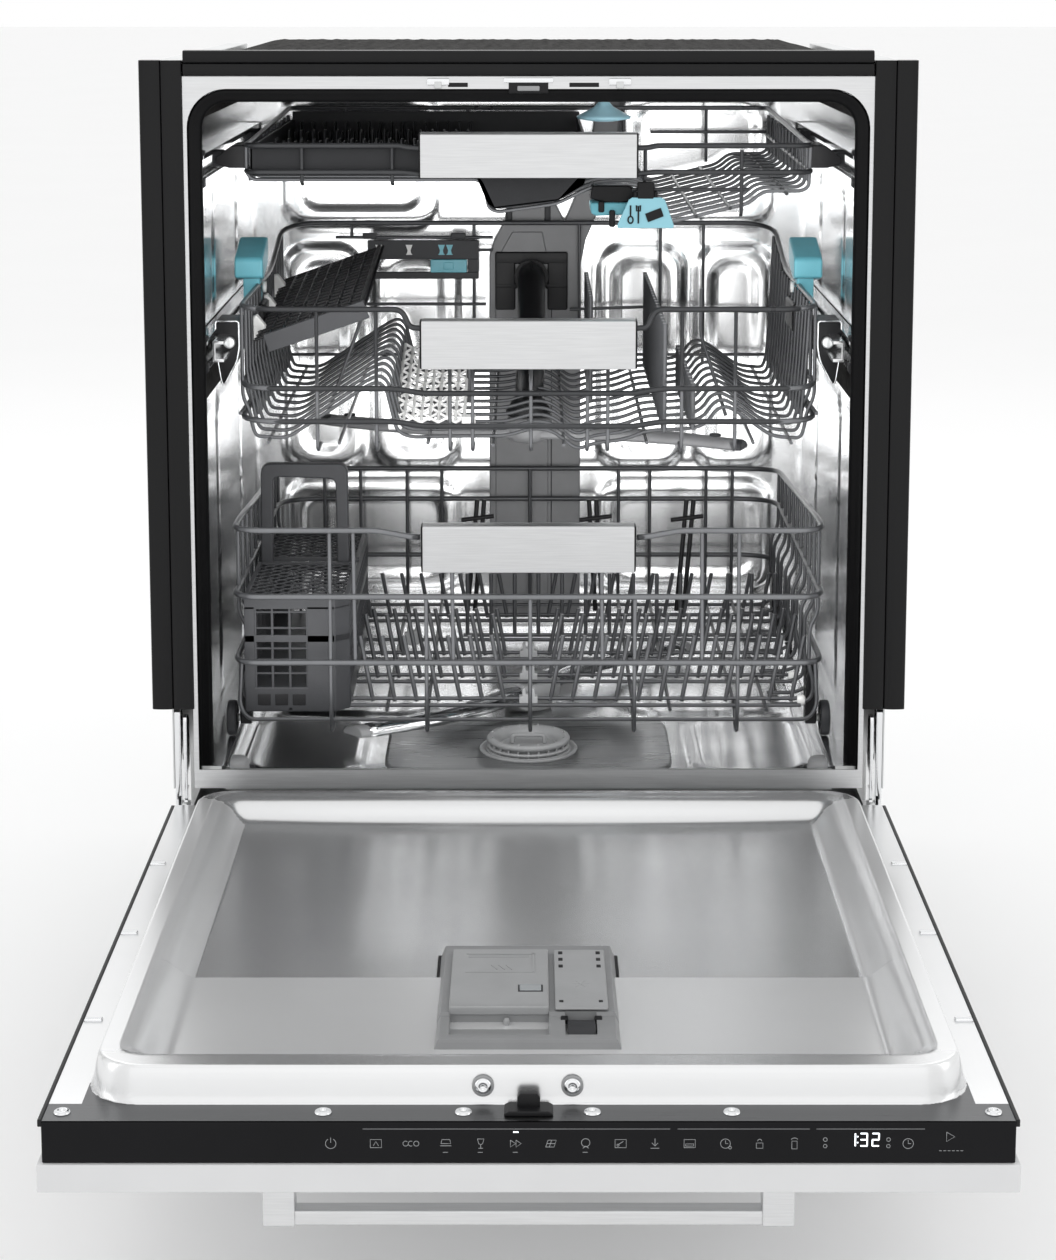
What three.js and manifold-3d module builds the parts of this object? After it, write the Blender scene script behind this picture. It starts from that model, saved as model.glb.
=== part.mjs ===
// A fully integrated 60 cm dishwasher with its door lowered and its racks pushed in.
// Millimetres, +Z up, the front faces -Y. Y = 0 is the face of the cabinet's front flange and
// Z = 0 the floor; the last lines centre the whole object's box on the Z axis.
import * as THREE from 'three';
import { mergeVertices } from 'three/addons/utils/BufferGeometryUtils.js';
import Module from 'manifold-3d';

const wasm = await Module();
wasm.setup();

// ---------------------------------------------------------------- driving dimensions
const WIDTH = 598;                // cabinet, over its side panels
const HEIGHT = 815;               // floor to the top flanges
const DEPTH = 500;                // front flange to the back edge of the side panels
const SHEET = 1.2;                // cabinet and tub steel
const DOOR_SHEET = 0.9;           // the door's pressed steel
const GAP = 0.4;                  // working gap between neighbouring pieces
const HALF = WIDTH / 2;

const PIVOT_Y = -6;               // door hinge axis
const PIVOT_Z = 192;
const DOOR_REACH = 620;           // hinge axis to the door's free end
const DOOR_END = PIVOT_Y - DOOR_REACH;
const RIM_Z = PIVOT_Z + 3;        // the liner's flat rim, door open
const RIDGE_Z = RIM_Z + 23;       // top of the raised ring that enters the tub
const RECESS_Z = RIM_Z + 10;      // floor inside the ring
const PANEL_TOP_Z = 168;          // joint between the door and its furniture panel
const PANEL_THICK = 18;
const PANEL_TAIL = 92;            // furniture panel beyond the hinge axis
const LINER_TAIL = 51;            // liner beyond the hinge axis

const TUB_HALF = 278;             // inside of the tub's side walls
const TUB_FRONT = 17;
const TUB_BACK = 486;
const TUB_ROOF = 792;
const FLOOR_Z = 205;              // upper face of the tub's floor pan
const SILL_Z = 222;
const SEAL_HALF = 265.5;          // free width between the door gasket's lips
const SEAL_TOP = 784;
const CORNER_R = 32;
const FLANGE_TOP = 802;
const HINGE_SLOT_Z = 275;         // the flange's outer strips stop here

const SUMP_Y = 112;               // filter cylinder's axis
const FILTER_R = 38;
const ARM_Y = (TUB_FRONT + TUB_BACK) / 2 - 6;   // spray arms' axis
const RACK_FRONT = 40;
const RACK_BACK = 465;
const WIRE = 4;
const WHEEL_R = 16;
const LEDGE_Z = 223.5;            // tub ledges that carry the lower rack's wheels

// ---------------------------------------------------------------- materials
const paint = (color, roughness, metalness) =>
  new THREE.MeshStandardMaterial({ color, roughness, metalness });
const M = {
  stainless: paint(0xb4b7ba, 0.28, 1.0),
  galvanised: paint(0xb9bcbb, 0.45, 0.8),
  brushed: paint(0xa9abac, 0.35, 1.0),
  chrome: paint(0xcfd2d4, 0.15, 1.0),
  rubber: paint(0x141416, 0.7, 0.0),
  felt: paint(0x35322f, 0.95, 0.0),
  blackGloss: paint(0x0e0f12, 0.12, 0.0),
  darkPlastic: paint(0x3b3d42, 0.5, 0.0),
  greyPlastic: paint(0x8e9398, 0.5, 0.0),
  lightPlastic: paint(0xc9ccce, 0.45, 0.0),
  palePlastic: paint(0xdfe6e8, 0.35, 0.0),
  aqua: paint(0x3fc3c8, 0.4, 0.0),
  whitePanel: paint(0xececea, 0.4, 0.0),
  wire: paint(0x5c5f63, 0.4, 0.3),
};

// ---------------------------------------------------------------- geometry helpers
const box = (x0, x1, y0, y1, z0, z1) =>
  new THREE.BoxGeometry(x1 - x0, y1 - y0, z1 - z0)
    .translate((x0 + x1) / 2, (y0 + y1) / 2, (z0 + z1) / 2);

function toManifold(geometry) {
  const bare = geometry.clone();
  bare.deleteAttribute('normal');
  bare.deleteAttribute('uv');
  const merged = mergeVertices(bare, 1e-4);
  return new wasm.Manifold(new wasm.Mesh({
    numProp: 3,
    vertProperties: new Float32Array(merged.attributes.position.array),
    triVerts: new Uint32Array(merged.index.array),
  }));
}

function fromManifold(manifold) {
  const mesh = manifold.getMesh();
  const geometry = new THREE.BufferGeometry();
  geometry.setAttribute('position', new THREE.BufferAttribute(new Float32Array(mesh.vertProperties), 3));
  geometry.setIndex(new THREE.BufferAttribute(new Uint32Array(mesh.triVerts), 1));
  return geometry;
}

const join = (...list) => fromManifold(list.map(toManifold).reduce((a, b) => a.add(b)));
const cut = (first, ...list) =>
  fromManifold(list.map(toManifold).reduce((a, b) => a.subtract(b), toManifold(first)));

// Extrudes an outline along one axis. The outline's two coordinates are
// (x, y) for 'z', (x, z) for 'y' and (y, z) for 'x'.
const FRAMES = {
  x: [[0, 1, 0], [0, 0, 1], [1, 0, 0]],
  y: [[1, 0, 0], [0, 0, 1], [0, -1, 0]],
  z: [[1, 0, 0], [0, 1, 0], [0, 0, 1]],
};
function slab(outline, axis, from, to) {
  const shape = outline instanceof THREE.Shape
    ? outline : new THREE.Shape(outline.map(([u, v]) => new THREE.Vector2(u, v)));
  const geometry = new THREE.ExtrudeGeometry(shape, { depth: to - from, bevelEnabled: false });
  const [u, v, w] = FRAMES[axis].map((a) => new THREE.Vector3(...a));
  geometry.applyMatrix4(new THREE.Matrix4().makeBasis(u, v, w));
  const start = { x: [from, 0, 0], y: [0, to, 0], z: [0, 0, from] }[axis];
  return geometry.translate(...start);
}

const polygon = (u, v, r, n, turn = 0) => Array.from({ length: n }, (_, i) => {
  const a = turn + (i + 0.5) * 2 * Math.PI / n;
  return [u + r * Math.cos(a), v + r * Math.sin(a)];
});
const drum = (axis, u, v, r, from, to, n = 12) => slab(polygon(u, v, r, n), axis, from, to);

// A flat lattice of wires with nu by nv windows.
function lattice(axis, from, to, u0, u1, v0, v1, nu, nv, bar = WIRE) {
  const pane = (a0, a1, b0, b1, w0, w1) =>
    slab([[a0, b0], [a1, b0], [a1, b1], [a0, b1]], axis, w0, w1);
  const du = (u1 - u0 - bar) / nu;
  const dv = (v1 - v0 - bar) / nv;
  const windows = [];
  for (let i = 0; i < nu; i++) {
    for (let j = 0; j < nv; j++) {
      const [a, b] = [u0 + bar + i * du, v0 + bar + j * dv];
      windows.push(pane(a, a + du - bar, b, b + dv - bar, from - 1, to + 1));
    }
  }
  return cut(pane(u0, u1, v0, v1, from, to), ...windows);
}

// Points of a quarter-round corner between two directions, in three flats.
const corner = (u, v, r, fromDeg) => [0, 30, 60, 90].map((d) => {
  const a = THREE.MathUtils.degToRad(fromDeg + d);
  return [u + r * Math.cos(a), v + r * Math.sin(a)];
});

// ---------------------------------------------------------------- scene graph
const dishwasher = new THREE.Group();
dishwasher.name = 'dishwasher';

function body(name, parent = dishwasher) {
  const group = new THREE.Group();
  group.name = name;
  parent.add(group);
  return group;
}
function add(parent, name, geometry, material, position = [0, 0, 0], turnZ = 0) {
  const mesh = new THREE.Mesh(geometry, material);
  mesh.name = name;
  mesh.position.set(...position);
  mesh.rotation.z = turnZ;
  parent.add(mesh);
  return mesh;
}

// ---------------------------------------------------------------- cabinet and tub
const cabinet = body('cabinet');

// Two sides and the roof, bent from one sheet.
const wrapOutline = (half, top, r) => [
  [half, FLOOR_Z + GAP], ...corner(half - r, top - r, r, 0), ...corner(-half + r, top - r, r, 90),
  [-half, FLOOR_Z + GAP]];
add(cabinet, 'tub_wrap', slab([
  ...wrapOutline(TUB_HALF + SHEET, TUB_ROOF + SHEET, CORNER_R + SHEET),
  ...wrapOutline(TUB_HALF, TUB_ROOF, CORNER_R).reverse()], 'y', TUB_FRONT, TUB_BACK), M.stainless);

add(cabinet, 'tub_back_wall', box(-TUB_HALF, TUB_HALF, TUB_BACK + GAP, TUB_BACK + GAP + SHEET,
  FLOOR_Z, TUB_ROOF), M.stainless);

// Floor pan with a side ledge for the wheels on each side and a hole over the sump.
const ledge = (side) => cut(
  box(Math.min(side * 255, side * 277), Math.max(side * 255, side * 277), TUB_FRONT, TUB_BACK,
    FLOOR_Z - SHEET, LEDGE_Z),
  box(Math.min(side * 256.2, side * 275.8), Math.max(side * 256.2, side * 275.8),
    TUB_FRONT - 1, TUB_BACK + 1, FLOOR_Z - 2 * SHEET, LEDGE_Z - SHEET));
const panPlate = box(-255.5, 255.5, 3, TUB_BACK, FLOOR_Z - SHEET, FLOOR_Z);
const sill = box(-255.5, 255.5, 3, 3 + SHEET, FLOOR_Z - SHEET, SILL_Z);
add(cabinet, 'tub_floor_pan', cut(join(panPlate, sill, ledge(-1), ledge(1)),
  drum('z', 0, SUMP_Y, FILTER_R + 5, FLOOR_Z - 5, FLOOR_Z + 5)), M.stainless);

// Front flange: a plate around the tub's mouth. Its outer strips stop above the hinge arms, and
// its top member is slotted for the door's latch tongue.
const mouth = [
  [TUB_HALF - 1, SILL_Z], ...corner(TUB_HALF - 1 - CORNER_R, TUB_ROOF - CORNER_R, CORNER_R, 0),
  ...corner(-TUB_HALF + 1 + CORNER_R, TUB_ROOF - CORNER_R, CORNER_R, 90), [-TUB_HALF + 1, SILL_Z]];
const flangeShape = new THREE.Shape([
  [-281, FLOOR_Z + 1], [281, FLOOR_Z + 1], [281, HINGE_SLOT_Z], [HALF - 2, HINGE_SLOT_Z],
  [HALF - 2, FLANGE_TOP], [-HALF + 2, FLANGE_TOP], [-HALF + 2, HINGE_SLOT_Z], [-281, HINGE_SLOT_Z],
].map(([u, v]) => new THREE.Vector2(u, v)));
flangeShape.holes.push(new THREE.Path(mouth.reverse().map(([u, v]) => new THREE.Vector2(u, v))));
add(cabinet, 'front_flange', cut(slab(flangeShape, 'y', 0, SHEET),
  box(-8, 8, -1, 3, TUB_ROOF - 4, FLANGE_TOP - 3)), M.galvanised);

// Door gasket, an arch inside the mouth.
const arch = (half, top, r, foot) => [
  [half, foot], ...corner(half - r, top - r, r, 0), ...corner(-half + r, top - r, r, 90), [-half, foot]];
add(cabinet, 'door_gasket', slab([
  ...arch(TUB_HALF - 1.5, TUB_ROOF - 0.8, CORNER_R, SILL_Z + 3),
  ...arch(SEAL_HALF, SEAL_TOP, CORNER_R - 6, SILL_Z + 3).reverse()], 'y', 2, 15), M.rubber);

// Side panels, with a lip along the top and a step cut away where the door swings under the tub.
function sidePanel(side) {
  const [x0, x1] = side < 0 ? [-HALF, -HALF + SHEET] : [HALF - SHEET, HALF];
  const [l0, l1] = side < 0 ? [-HALF, -HALF + 19] : [HALF - 19, HALF];
  const outline = [[2, FLOOR_Z], [110, FLOOR_Z], [110, 26], [DEPTH, 26], [DEPTH, HEIGHT], [2, HEIGHT]];
  return join(slab(outline, 'x', x0, x1), box(l0, l1, 2, DEPTH, HEIGHT - SHEET, HEIGHT));
}
add(cabinet, 'side_panel_left', sidePanel(-1), M.galvanised);
add(cabinet, 'side_panel_right', sidePanel(1), M.galvanised);
add(cabinet, 'top_insulation', box(-277, 277, 20, 488, 802, 811), M.felt);

// Rubber trims: each side one wraps from the flange's face round the cabinet's edge.
function sideTrim(side) {
  const section = [[HALF - 19, -2.6], [HALF + 16, -2.6], [HALF + 16, 13], [HALF + GAP, 13],
    [HALF + GAP, -GAP], [HALF - 19, -GAP]].map(([x, y]) => [side * x, y]);
  return slab(side < 0 ? section.reverse() : section, 'z', HINGE_SLOT_Z, HEIGHT);
}
add(cabinet, 'side_trim_left', sideTrim(-1), M.rubber);
add(cabinet, 'side_trim_right', sideTrim(1), M.rubber);
add(cabinet, 'top_trim', box(-279, 279, -3, 12, FLANGE_TOP + GAP, FLANGE_TOP + 21), M.rubber);

// Base tray with two low side walls and a bore for each foot.
const FOOT_X = 262;
const FOOT_YS = [56, 468];
const FOOT_BORE = 7;
const trayPlate = box(-296, 296, 34, 495, 22, 26);
const trayBores = FOOT_YS.flatMap((y) => [-FOOT_X, FOOT_X]
  .map((x) => drum('z', x, y, FOOT_BORE, 20, 30, 8)));
add(cabinet, 'base_tray', cut(join(trayPlate, box(-296, -292, 34, 495, 22, 84),
  box(292, 296, 34, 495, 22, 84)), ...trayBores), M.darkPlastic);

// Sump under the floor pan: a shallow trough that clears the swinging furniture panel.
add(cabinet, 'sump_housing', cut(box(-62, 62, 62, 300, 170.5, FLOOR_Z - SHEET - GAP),
  box(-59, 59, 65, 297, 173.5, FLOOR_Z)), M.darkPlastic);
add(cabinet, 'circulation_pump', join(drum('x', 350, 110, 52, -90, 60),
  drum('x', 350, 110, 34, 50, 105)), M.darkPlastic);

// Water channel up the back wall and the top shower under the roof.
add(cabinet, 'water_channel', box(-40, 50, 468, TUB_BACK, 244, 671), M.greyPlastic);
add(cabinet, 'top_spray_nozzle', join(drum('z', 68, 245, 12, 770, TUB_ROOF - GAP),
  drum('z', 68, 245, 26, 754, 775)), M.palePlastic);
add(cabinet, 'filter_plate', cut(box(-125, 125, 40, 205, FLOOR_Z + GAP, FLOOR_Z + 2.4),
  drum('z', 0, SUMP_Y, FILTER_R + 3, FLOOR_Z - 2, FLOOR_Z + 5)), M.galvanised);
add(cabinet, 'latch_catch', box(-22, 22, 17.5, 34, TUB_ROOF + 2, 801.5), M.galvanised);

// Fixed rails on the tub's side walls.
for (const [side, word] of [[-1, 'left'], [1, 'right']]) {
  const [x0, x1] = side < 0 ? [-TUB_HALF + GAP, -266] : [266, TUB_HALF - GAP];
  add(cabinet, `middle_rail_${word}`, box(x0, x1, 22, 478, 558, 584), M.stainless);
  add(cabinet, `third_rail_${word}`, box(x0, x1, 22, 478, 712, 738), M.stainless);
}

// Levelling feet: a disc and a threaded stem through the tray.
const footSolid = join(drum('z', 0, 0, 20, 0, 8), drum('z', 0, 0, 5.5, 7, 76, 8));
for (const [y, place] of [[FOOT_YS[0], 'front'], [FOOT_YS[1], 'rear']]) {
  for (const [x, word] of [[-FOOT_X, 'left'], [FOOT_X, 'right']]) {
    add(body(`foot_${place}_${word}`), `foot_${place}_${word}`, footSolid, M.darkPlastic, [x, y, 0]);
  }
}

// Filter cylinder, twisted out by its cross grip, and the lower spray arm on its hub.
add(body('filter'), 'filter_cylinder', join(drum('z', 0, 0, FILTER_R, 174.5, 215),
  box(-30, 30, -3, 3, 214, 219)), M.greyPlastic, [0, SUMP_Y, 0]);
function sprayArm(reach, low, high, hubR, hubLow, hubHigh) {
  const blade = slab([[-reach, -17], [-40, -26], [40, -26], [reach, -17], [reach, 17], [40, 26],
    [-40, 26], [-reach, 17]], 'z', low, high);
  return join(blade, drum('z', 0, 0, hubR, hubLow, hubHigh));
}
const LOWER_ARM_TURN = Math.atan2(300, 314);
add(body('lower_arm'), 'lower_spray_arm', sprayArm(214, 222, 235, 30, 209, 240), M.chrome,
  [0, ARM_Y, 0], LOWER_ARM_TURN);

// ---------------------------------------------------------------- door, lowered
const door = body('door');
const RING = { x: 262, y0: DOOR_END + 29, y1: -42, wall: 24, r: 34 };
const linerPlate = slab([[-297, DOOR_END + 1], [297, DOOR_END + 1], [297, -12], [281, -12],
  [281, PIVOT_Y + LINER_TAIL], [-281, PIVOT_Y + LINER_TAIL], [-281, -12], [-297, -12]],
'z', RIM_Z - DOOR_SHEET, RIM_Z);
const skirt = (x0, x1) => box(x0, x1, DOOR_END + 16, -12, PANEL_TOP_Z + 2, RIM_Z);
// The ring's outline drawn in by some distance, run between two heights.
function ringSlab(inset, low, high) {
  const [x, y0, y1, r] = [RING.x - inset, RING.y0 + inset, RING.y1 - inset, Math.max(RING.r - inset, 6)];
  return slab([...corner(x - r, y1 - r, r, 0), ...corner(-x + r, y1 - r, r, 90),
    ...corner(-x + r, y0 + r, r, 180), ...corner(x - r, y0 + r, r, 270)], 'z', low, high);
}
const ringBlock = ringSlab(0, RIM_Z - DOOR_SHEET, RIDGE_Z);
const hollow = ringSlab(DOOR_SHEET, RIM_Z - 10, RIDGE_Z - DOOR_SHEET);
const recess = ringSlab(RING.wall, RECESS_Z, RIDGE_Z + 1);
const recessCore = ringSlab(RING.wall - DOOR_SHEET, RECESS_Z - DOOR_SHEET, RIDGE_Z);
const DISPENSER = { x0: -62.5, x1: 61.5, y0: -531, y1: -365, top: RECESS_Z + 4 };
const dispenserHole = box(DISPENSER.x0 - GAP, DISPENSER.x1 + GAP, DISPENSER.y0 - GAP,
  DISPENSER.y1 + GAP, RIM_Z - 10, RIDGE_Z + 1);
add(door, 'door_liner', cut(join(linerPlate, skirt(-297, -296.1), skirt(296.1, 297), ringBlock),
  cut(hollow, recessCore), recess, dispenserHole), M.stainless);

add(door, 'door_outer_panel', box(-296, 296, DOOR_END + 17, PIVOT_Y + LINER_TAIL,
  PANEL_TOP_Z + GAP, PANEL_TOP_Z + GAP + DOOR_SHEET), M.galvanised);
add(door, 'custom_panel', box(-300, 300, DOOR_END - 2, PIVOT_Y + PANEL_TAIL,
  PANEL_TOP_Z - PANEL_THICK, PANEL_TOP_Z), M.whitePanel);
add(door, 'control_panel', box(-297, 297, DOOR_END, DOOR_END + 15, PANEL_TOP_Z + GAP,
  RIM_Z - DOOR_SHEET - GAP), M.blackGloss);

const HANDLE = { x: 165, post: 20, y0: DOOR_END + 22, y1: DOOR_END + 36, low: 116 };
const post = (x) => box(x, x + HANDLE.post, HANDLE.y0, HANDLE.y1, HANDLE.low + 9,
  PANEL_TOP_Z - PANEL_THICK - GAP);
add(door, 'bar_handle', join(box(-HANDLE.x, HANDLE.x, HANDLE.y0, HANDLE.y1, HANDLE.low,
  HANDLE.low + 10), post(-HANDLE.x), post(HANDLE.x - HANDLE.post)), M.brushed);

add(door, 'latch_strike', box(-5, 5, DOOR_END + 14, DOOR_END + 19.5, RIM_Z + GAP, RIM_Z + 19),
  M.blackGloss);

// Dispenser with an open detergent chamber, a sliding lid over it and a hinged rinse-aid flap.
const CHAMBER = { x0: -48, x1: 9, y0: -486, y1: -392, depth: 26 };
add(door, 'dispenser_body', cut(
  box(DISPENSER.x0, DISPENSER.x1, DISPENSER.y0, DISPENSER.y1, RIM_Z - 20, DISPENSER.top),
  box(CHAMBER.x0, CHAMBER.x1, CHAMBER.y0, CHAMBER.y1, DISPENSER.top - CHAMBER.depth,
    DISPENSER.top + 1)), M.lightPlastic);
const LID_Z = DISPENSER.top + GAP;
add(body('detergent_lid', door), 'detergent_lid', box(-52.5, 13.5, -489, -385, LID_Z, LID_Z + 3),
  M.lightPlastic);
add(body('rinse_flap', door), 'rinse_aid_flap', box(17.5, 52.5, -489, -385, LID_Z, LID_Z + 3),
  M.lightPlastic);

// Hinge arms stand up beside the tub from inside the door.
for (const [side, word] of [[-1, 'left'], [1, 'right']]) {
  const arm = slab([[-70, 174], [14, 174], [14, 268], [-3, 268], [-3, 190], [-70, 190]], 'x',
    side * 288 - 1.5, side * 288 + 1.5);
  add(door, `hinge_arm_${word}`, arm, M.chrome);
}

// ---------------------------------------------------------------- racks
// An open wire basket: floor lattice, front, back and two sides.
function basket({ half, y0, y1, low, front, sides, nx, ny, nz }) {
  return join(
    lattice('z', low, low + WIRE, -half, half, y0, y1, nx, ny),
    lattice('y', y0, y0 + WIRE, -half, half, low, front, nx, nz),
    lattice('y', y1 - WIRE, y1, -half, half, low, front, nx, nz),
    lattice('x', -half, -half + WIRE, y0, y1, low, sides, ny, nz),
    lattice('x', half - WIRE, half, y0, y1, low, sides, ny, nz));
}
// A grip rail: a face plate with a lip that meets the basket's front wires.
const RACK_GRIP_X = 90;
const gripRail = (low, high) => slab([
  [24, low], [28, low], [28, high - 4], [RACK_FRONT - GAP, high - 4], [RACK_FRONT - GAP, high],
  [24, high]], 'x', -RACK_GRIP_X, RACK_GRIP_X);
const comb = (u0, u1, v0, v1, teeth, bar = 3) => {
  const pitch = (u1 - u0 - bar) / (teeth - 1);
  const points = [[u0, v0], [u1, v0]];
  for (let i = teeth - 1; i >= 0; i--) {
    const a = u0 + i * pitch;
    points.push([a + bar, v1], [a, v1]);
    if (i > 0) points.push([a, v0 + 5], [a - pitch + bar, v0 + 5]);
  }
  return points;
};

const lower = body('lower_rack');
const LOWER = { half: 252, low: 250, high: 422 };
add(lower, 'lower_rack', basket({ half: LOWER.half, y0: RACK_FRONT, y1: RACK_BACK, low: LOWER.low,
  front: LOWER.high, sides: LOWER.high, nx: 6, ny: 5, nz: 2 }), M.wire);
add(lower, 'lower_rack_handle', gripRail(387, 427), M.brushed);
add(body('lower_tines', lower), 'lower_tines', slab(comb(-60, 240, 258, 330, 9), 'y', 300, 303),
  M.wire);

const CUTLERY = { x0: -244, x1: -154, y0: 60, y1: 330, low: 255, high: 355, wall: 2.5 };
add(lower, 'cutlery_basket', cut(
  box(CUTLERY.x0, CUTLERY.x1, CUTLERY.y0, CUTLERY.y1, CUTLERY.low, CUTLERY.high),
  box(CUTLERY.x0 + CUTLERY.wall, CUTLERY.x1 - CUTLERY.wall, CUTLERY.y0 + CUTLERY.wall,
    CUTLERY.y1 - CUTLERY.wall, CUTLERY.low + CUTLERY.wall, CUTLERY.high + 1)), M.darkPlastic);
const middleY = (CUTLERY.y0 + CUTLERY.y1) / 2;
for (const [y0, y1, place] of [[CUTLERY.y0, middleY - 8, 'front'], [middleY + 8, CUTLERY.y1, 'rear']]) {
  add(body(`basket_lid_${place}`, lower), `basket_lid_${place}`,
    lattice('z', CUTLERY.high + GAP, CUTLERY.high + 3, CUTLERY.x0, CUTLERY.x1, y0, y1, 3, 4, 5),
    M.darkPlastic);
}
const wheelSolid = drum('x', 0, 0, WHEEL_R, -4, 4);
for (const [y, place] of [[95, 'front'], [420, 'rear']]) {
  for (const [side, word] of [[-1, 'left'], [1, 'right']]) {
    add(body(`wheel_${place}_${word}`, lower), `wheel_${place}_${word}`, wheelSolid, M.greyPlastic,
      [side * 259, y, LEDGE_Z + WHEEL_R + 0.5]);
  }
}

// Middle rack: inner slides run out of the fixed rails, and the basket can be lifted on them.
const carriage = body('middle_carriage');
for (const [side, word] of [[-1, 'left'], [1, 'right']]) {
  add(carriage, `middle_slide_${word}`, box(Math.min(side * 255, side * 265),
    Math.max(side * 255, side * 265), 44, 470, 562, 580), M.stainless);
}
const middle = body('middle_rack', carriage);
const MIDDLE = { half: 244, low: 487, high: 612 };
add(middle, 'middle_rack', basket({ half: MIDDLE.half, y0: RACK_FRONT, y1: RACK_BACK,
  low: MIDDLE.low, front: MIDDLE.high, sides: MIDDLE.high, nx: 6, ny: 5, nz: 2 }), M.wire);
add(middle, 'middle_rack_handle', gripRail(559, 600), M.brushed);
for (const [side, word] of [[-1, 'left'], [1, 'right']]) {
  add(body(`height_lever_${word}`, middle), `height_lever_${word}`,
    box(Math.min(side * 244.6, side * 250), Math.max(side * 244.6, side * 250), 205, 240, 588, 642),
    M.aqua);
}
add(body('middle_arm', middle), 'middle_spray_arm', sprayArm(205, 464, 476, 24, 458, 486),
  M.greyPlastic, [0, ARM_Y, 0], -0.35);
// The cup shelf slopes up from its hinge on the rack's left wall.
const CUP_SLOPE = THREE.MathUtils.degToRad(19);
add(body('cup_shelf', middle), 'cup_shelf',
  lattice('z', -2, 2, -1, 99, 110, 380, 4, 8, 4), M.darkPlastic, [-237, 0, 584])
  .rotation.y = -CUP_SLOPE;

// Third rack: a shallow frame that carries the cutlery tray.
const third = body('third_rack');
const THIRD = { half: 236, low: 716, high: 745 };
add(third, 'third_rack', join(
  box(-THIRD.half, THIRD.half, RACK_FRONT, RACK_FRONT + WIRE, THIRD.low, THIRD.high),
  box(-THIRD.half, THIRD.half, RACK_BACK - WIRE, RACK_BACK, THIRD.low, THIRD.high),
  ...[-1, 1].flatMap((side) => {
    const x = side * (THIRD.half - WIRE / 2);
    return [box(x - WIRE / 2, x + WIRE / 2, RACK_FRONT, RACK_BACK, THIRD.low, THIRD.high),
      ...[90, 400].map((y) => box(Math.min(x, side * 264), Math.max(x, side * 264), y, y + 30,
        722, 727))];
  })), M.wire);
add(third, 'third_rack_handle', gripRail(718, 756), M.brushed);
const traySection = [[-229, 718], [-34, 718], [-24, 693], [78, 693], [88, 718], [229, 718]];
add(third, 'cutlery_tray', slab([...traySection, ...traySection.map(([x, z]) => [x, z - 3]).reverse()],
  'y', 50, 455), M.darkPlastic);

// ---------------------------------------------------------------- centre the box on the axis
const bounds = new THREE.Box3().setFromObject(dishwasher);
dishwasher.position.set(-(bounds.min.x + bounds.max.x) / 2, -(bounds.min.y + bounds.max.y) / 2,
  -bounds.min.z);

export default dishwasher;
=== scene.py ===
"""A built-in dishwasher with its door lowered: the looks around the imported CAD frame."""
from math import cos, hypot, pi, radians, sin

import bpy
import bmesh
import numpy as np
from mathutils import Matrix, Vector


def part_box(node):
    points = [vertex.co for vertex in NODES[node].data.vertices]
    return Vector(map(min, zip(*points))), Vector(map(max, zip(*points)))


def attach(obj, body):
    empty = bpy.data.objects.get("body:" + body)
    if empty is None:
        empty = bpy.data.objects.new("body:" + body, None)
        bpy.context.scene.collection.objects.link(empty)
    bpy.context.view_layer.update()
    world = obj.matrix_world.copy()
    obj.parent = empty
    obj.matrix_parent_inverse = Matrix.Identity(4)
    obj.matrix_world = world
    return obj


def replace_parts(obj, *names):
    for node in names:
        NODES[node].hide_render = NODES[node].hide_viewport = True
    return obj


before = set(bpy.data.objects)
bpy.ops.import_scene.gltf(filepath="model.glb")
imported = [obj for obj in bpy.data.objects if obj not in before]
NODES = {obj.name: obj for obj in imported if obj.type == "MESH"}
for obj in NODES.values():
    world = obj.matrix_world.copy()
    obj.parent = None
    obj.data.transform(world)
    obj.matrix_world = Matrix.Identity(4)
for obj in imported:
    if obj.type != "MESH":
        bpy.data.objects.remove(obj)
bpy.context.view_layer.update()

MM = 0.001
FLANGE_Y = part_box("front_flange")[0][1]      # the cabinet's front plane
SIDES = (("left", -1), ("right", 1))


def at(x, y, z):
    """A point in metres from millimetres measured from the cabinet's front plane and the floor."""
    return Vector((x * MM, y * MM + FLANGE_Y, z * MM))


def ease(t):
    """A smooth step from 0 to 1."""
    t = np.clip(t, 0, 1)
    return t * t * (3 - 2 * t)


def span(side, a, b):
    """Two distances from the middle, on one side, as low and high x."""
    return sorted((side * a, side * b))


def side_box(side, x0, x1, y0, y1, z0, z1):
    """The corners of a block on one side, its x measured out from the middle."""
    x0, x1 = span(side, x0, x1)
    return (x0, y0, z0), (x1, y1, z1)


def mirrored(path):
    """A path on the other side of the middle."""
    return [Vector((-x, y, z)) for x, y, z in path]


def node_mm(name):
    """A CAD node's lowest and highest corners in the same millimetres."""
    low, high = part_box(name)
    return [tuple((v[i] - (FLANGE_Y if i == 1 else 0)) / MM for i in range(3)) for v in (low, high)]


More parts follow.
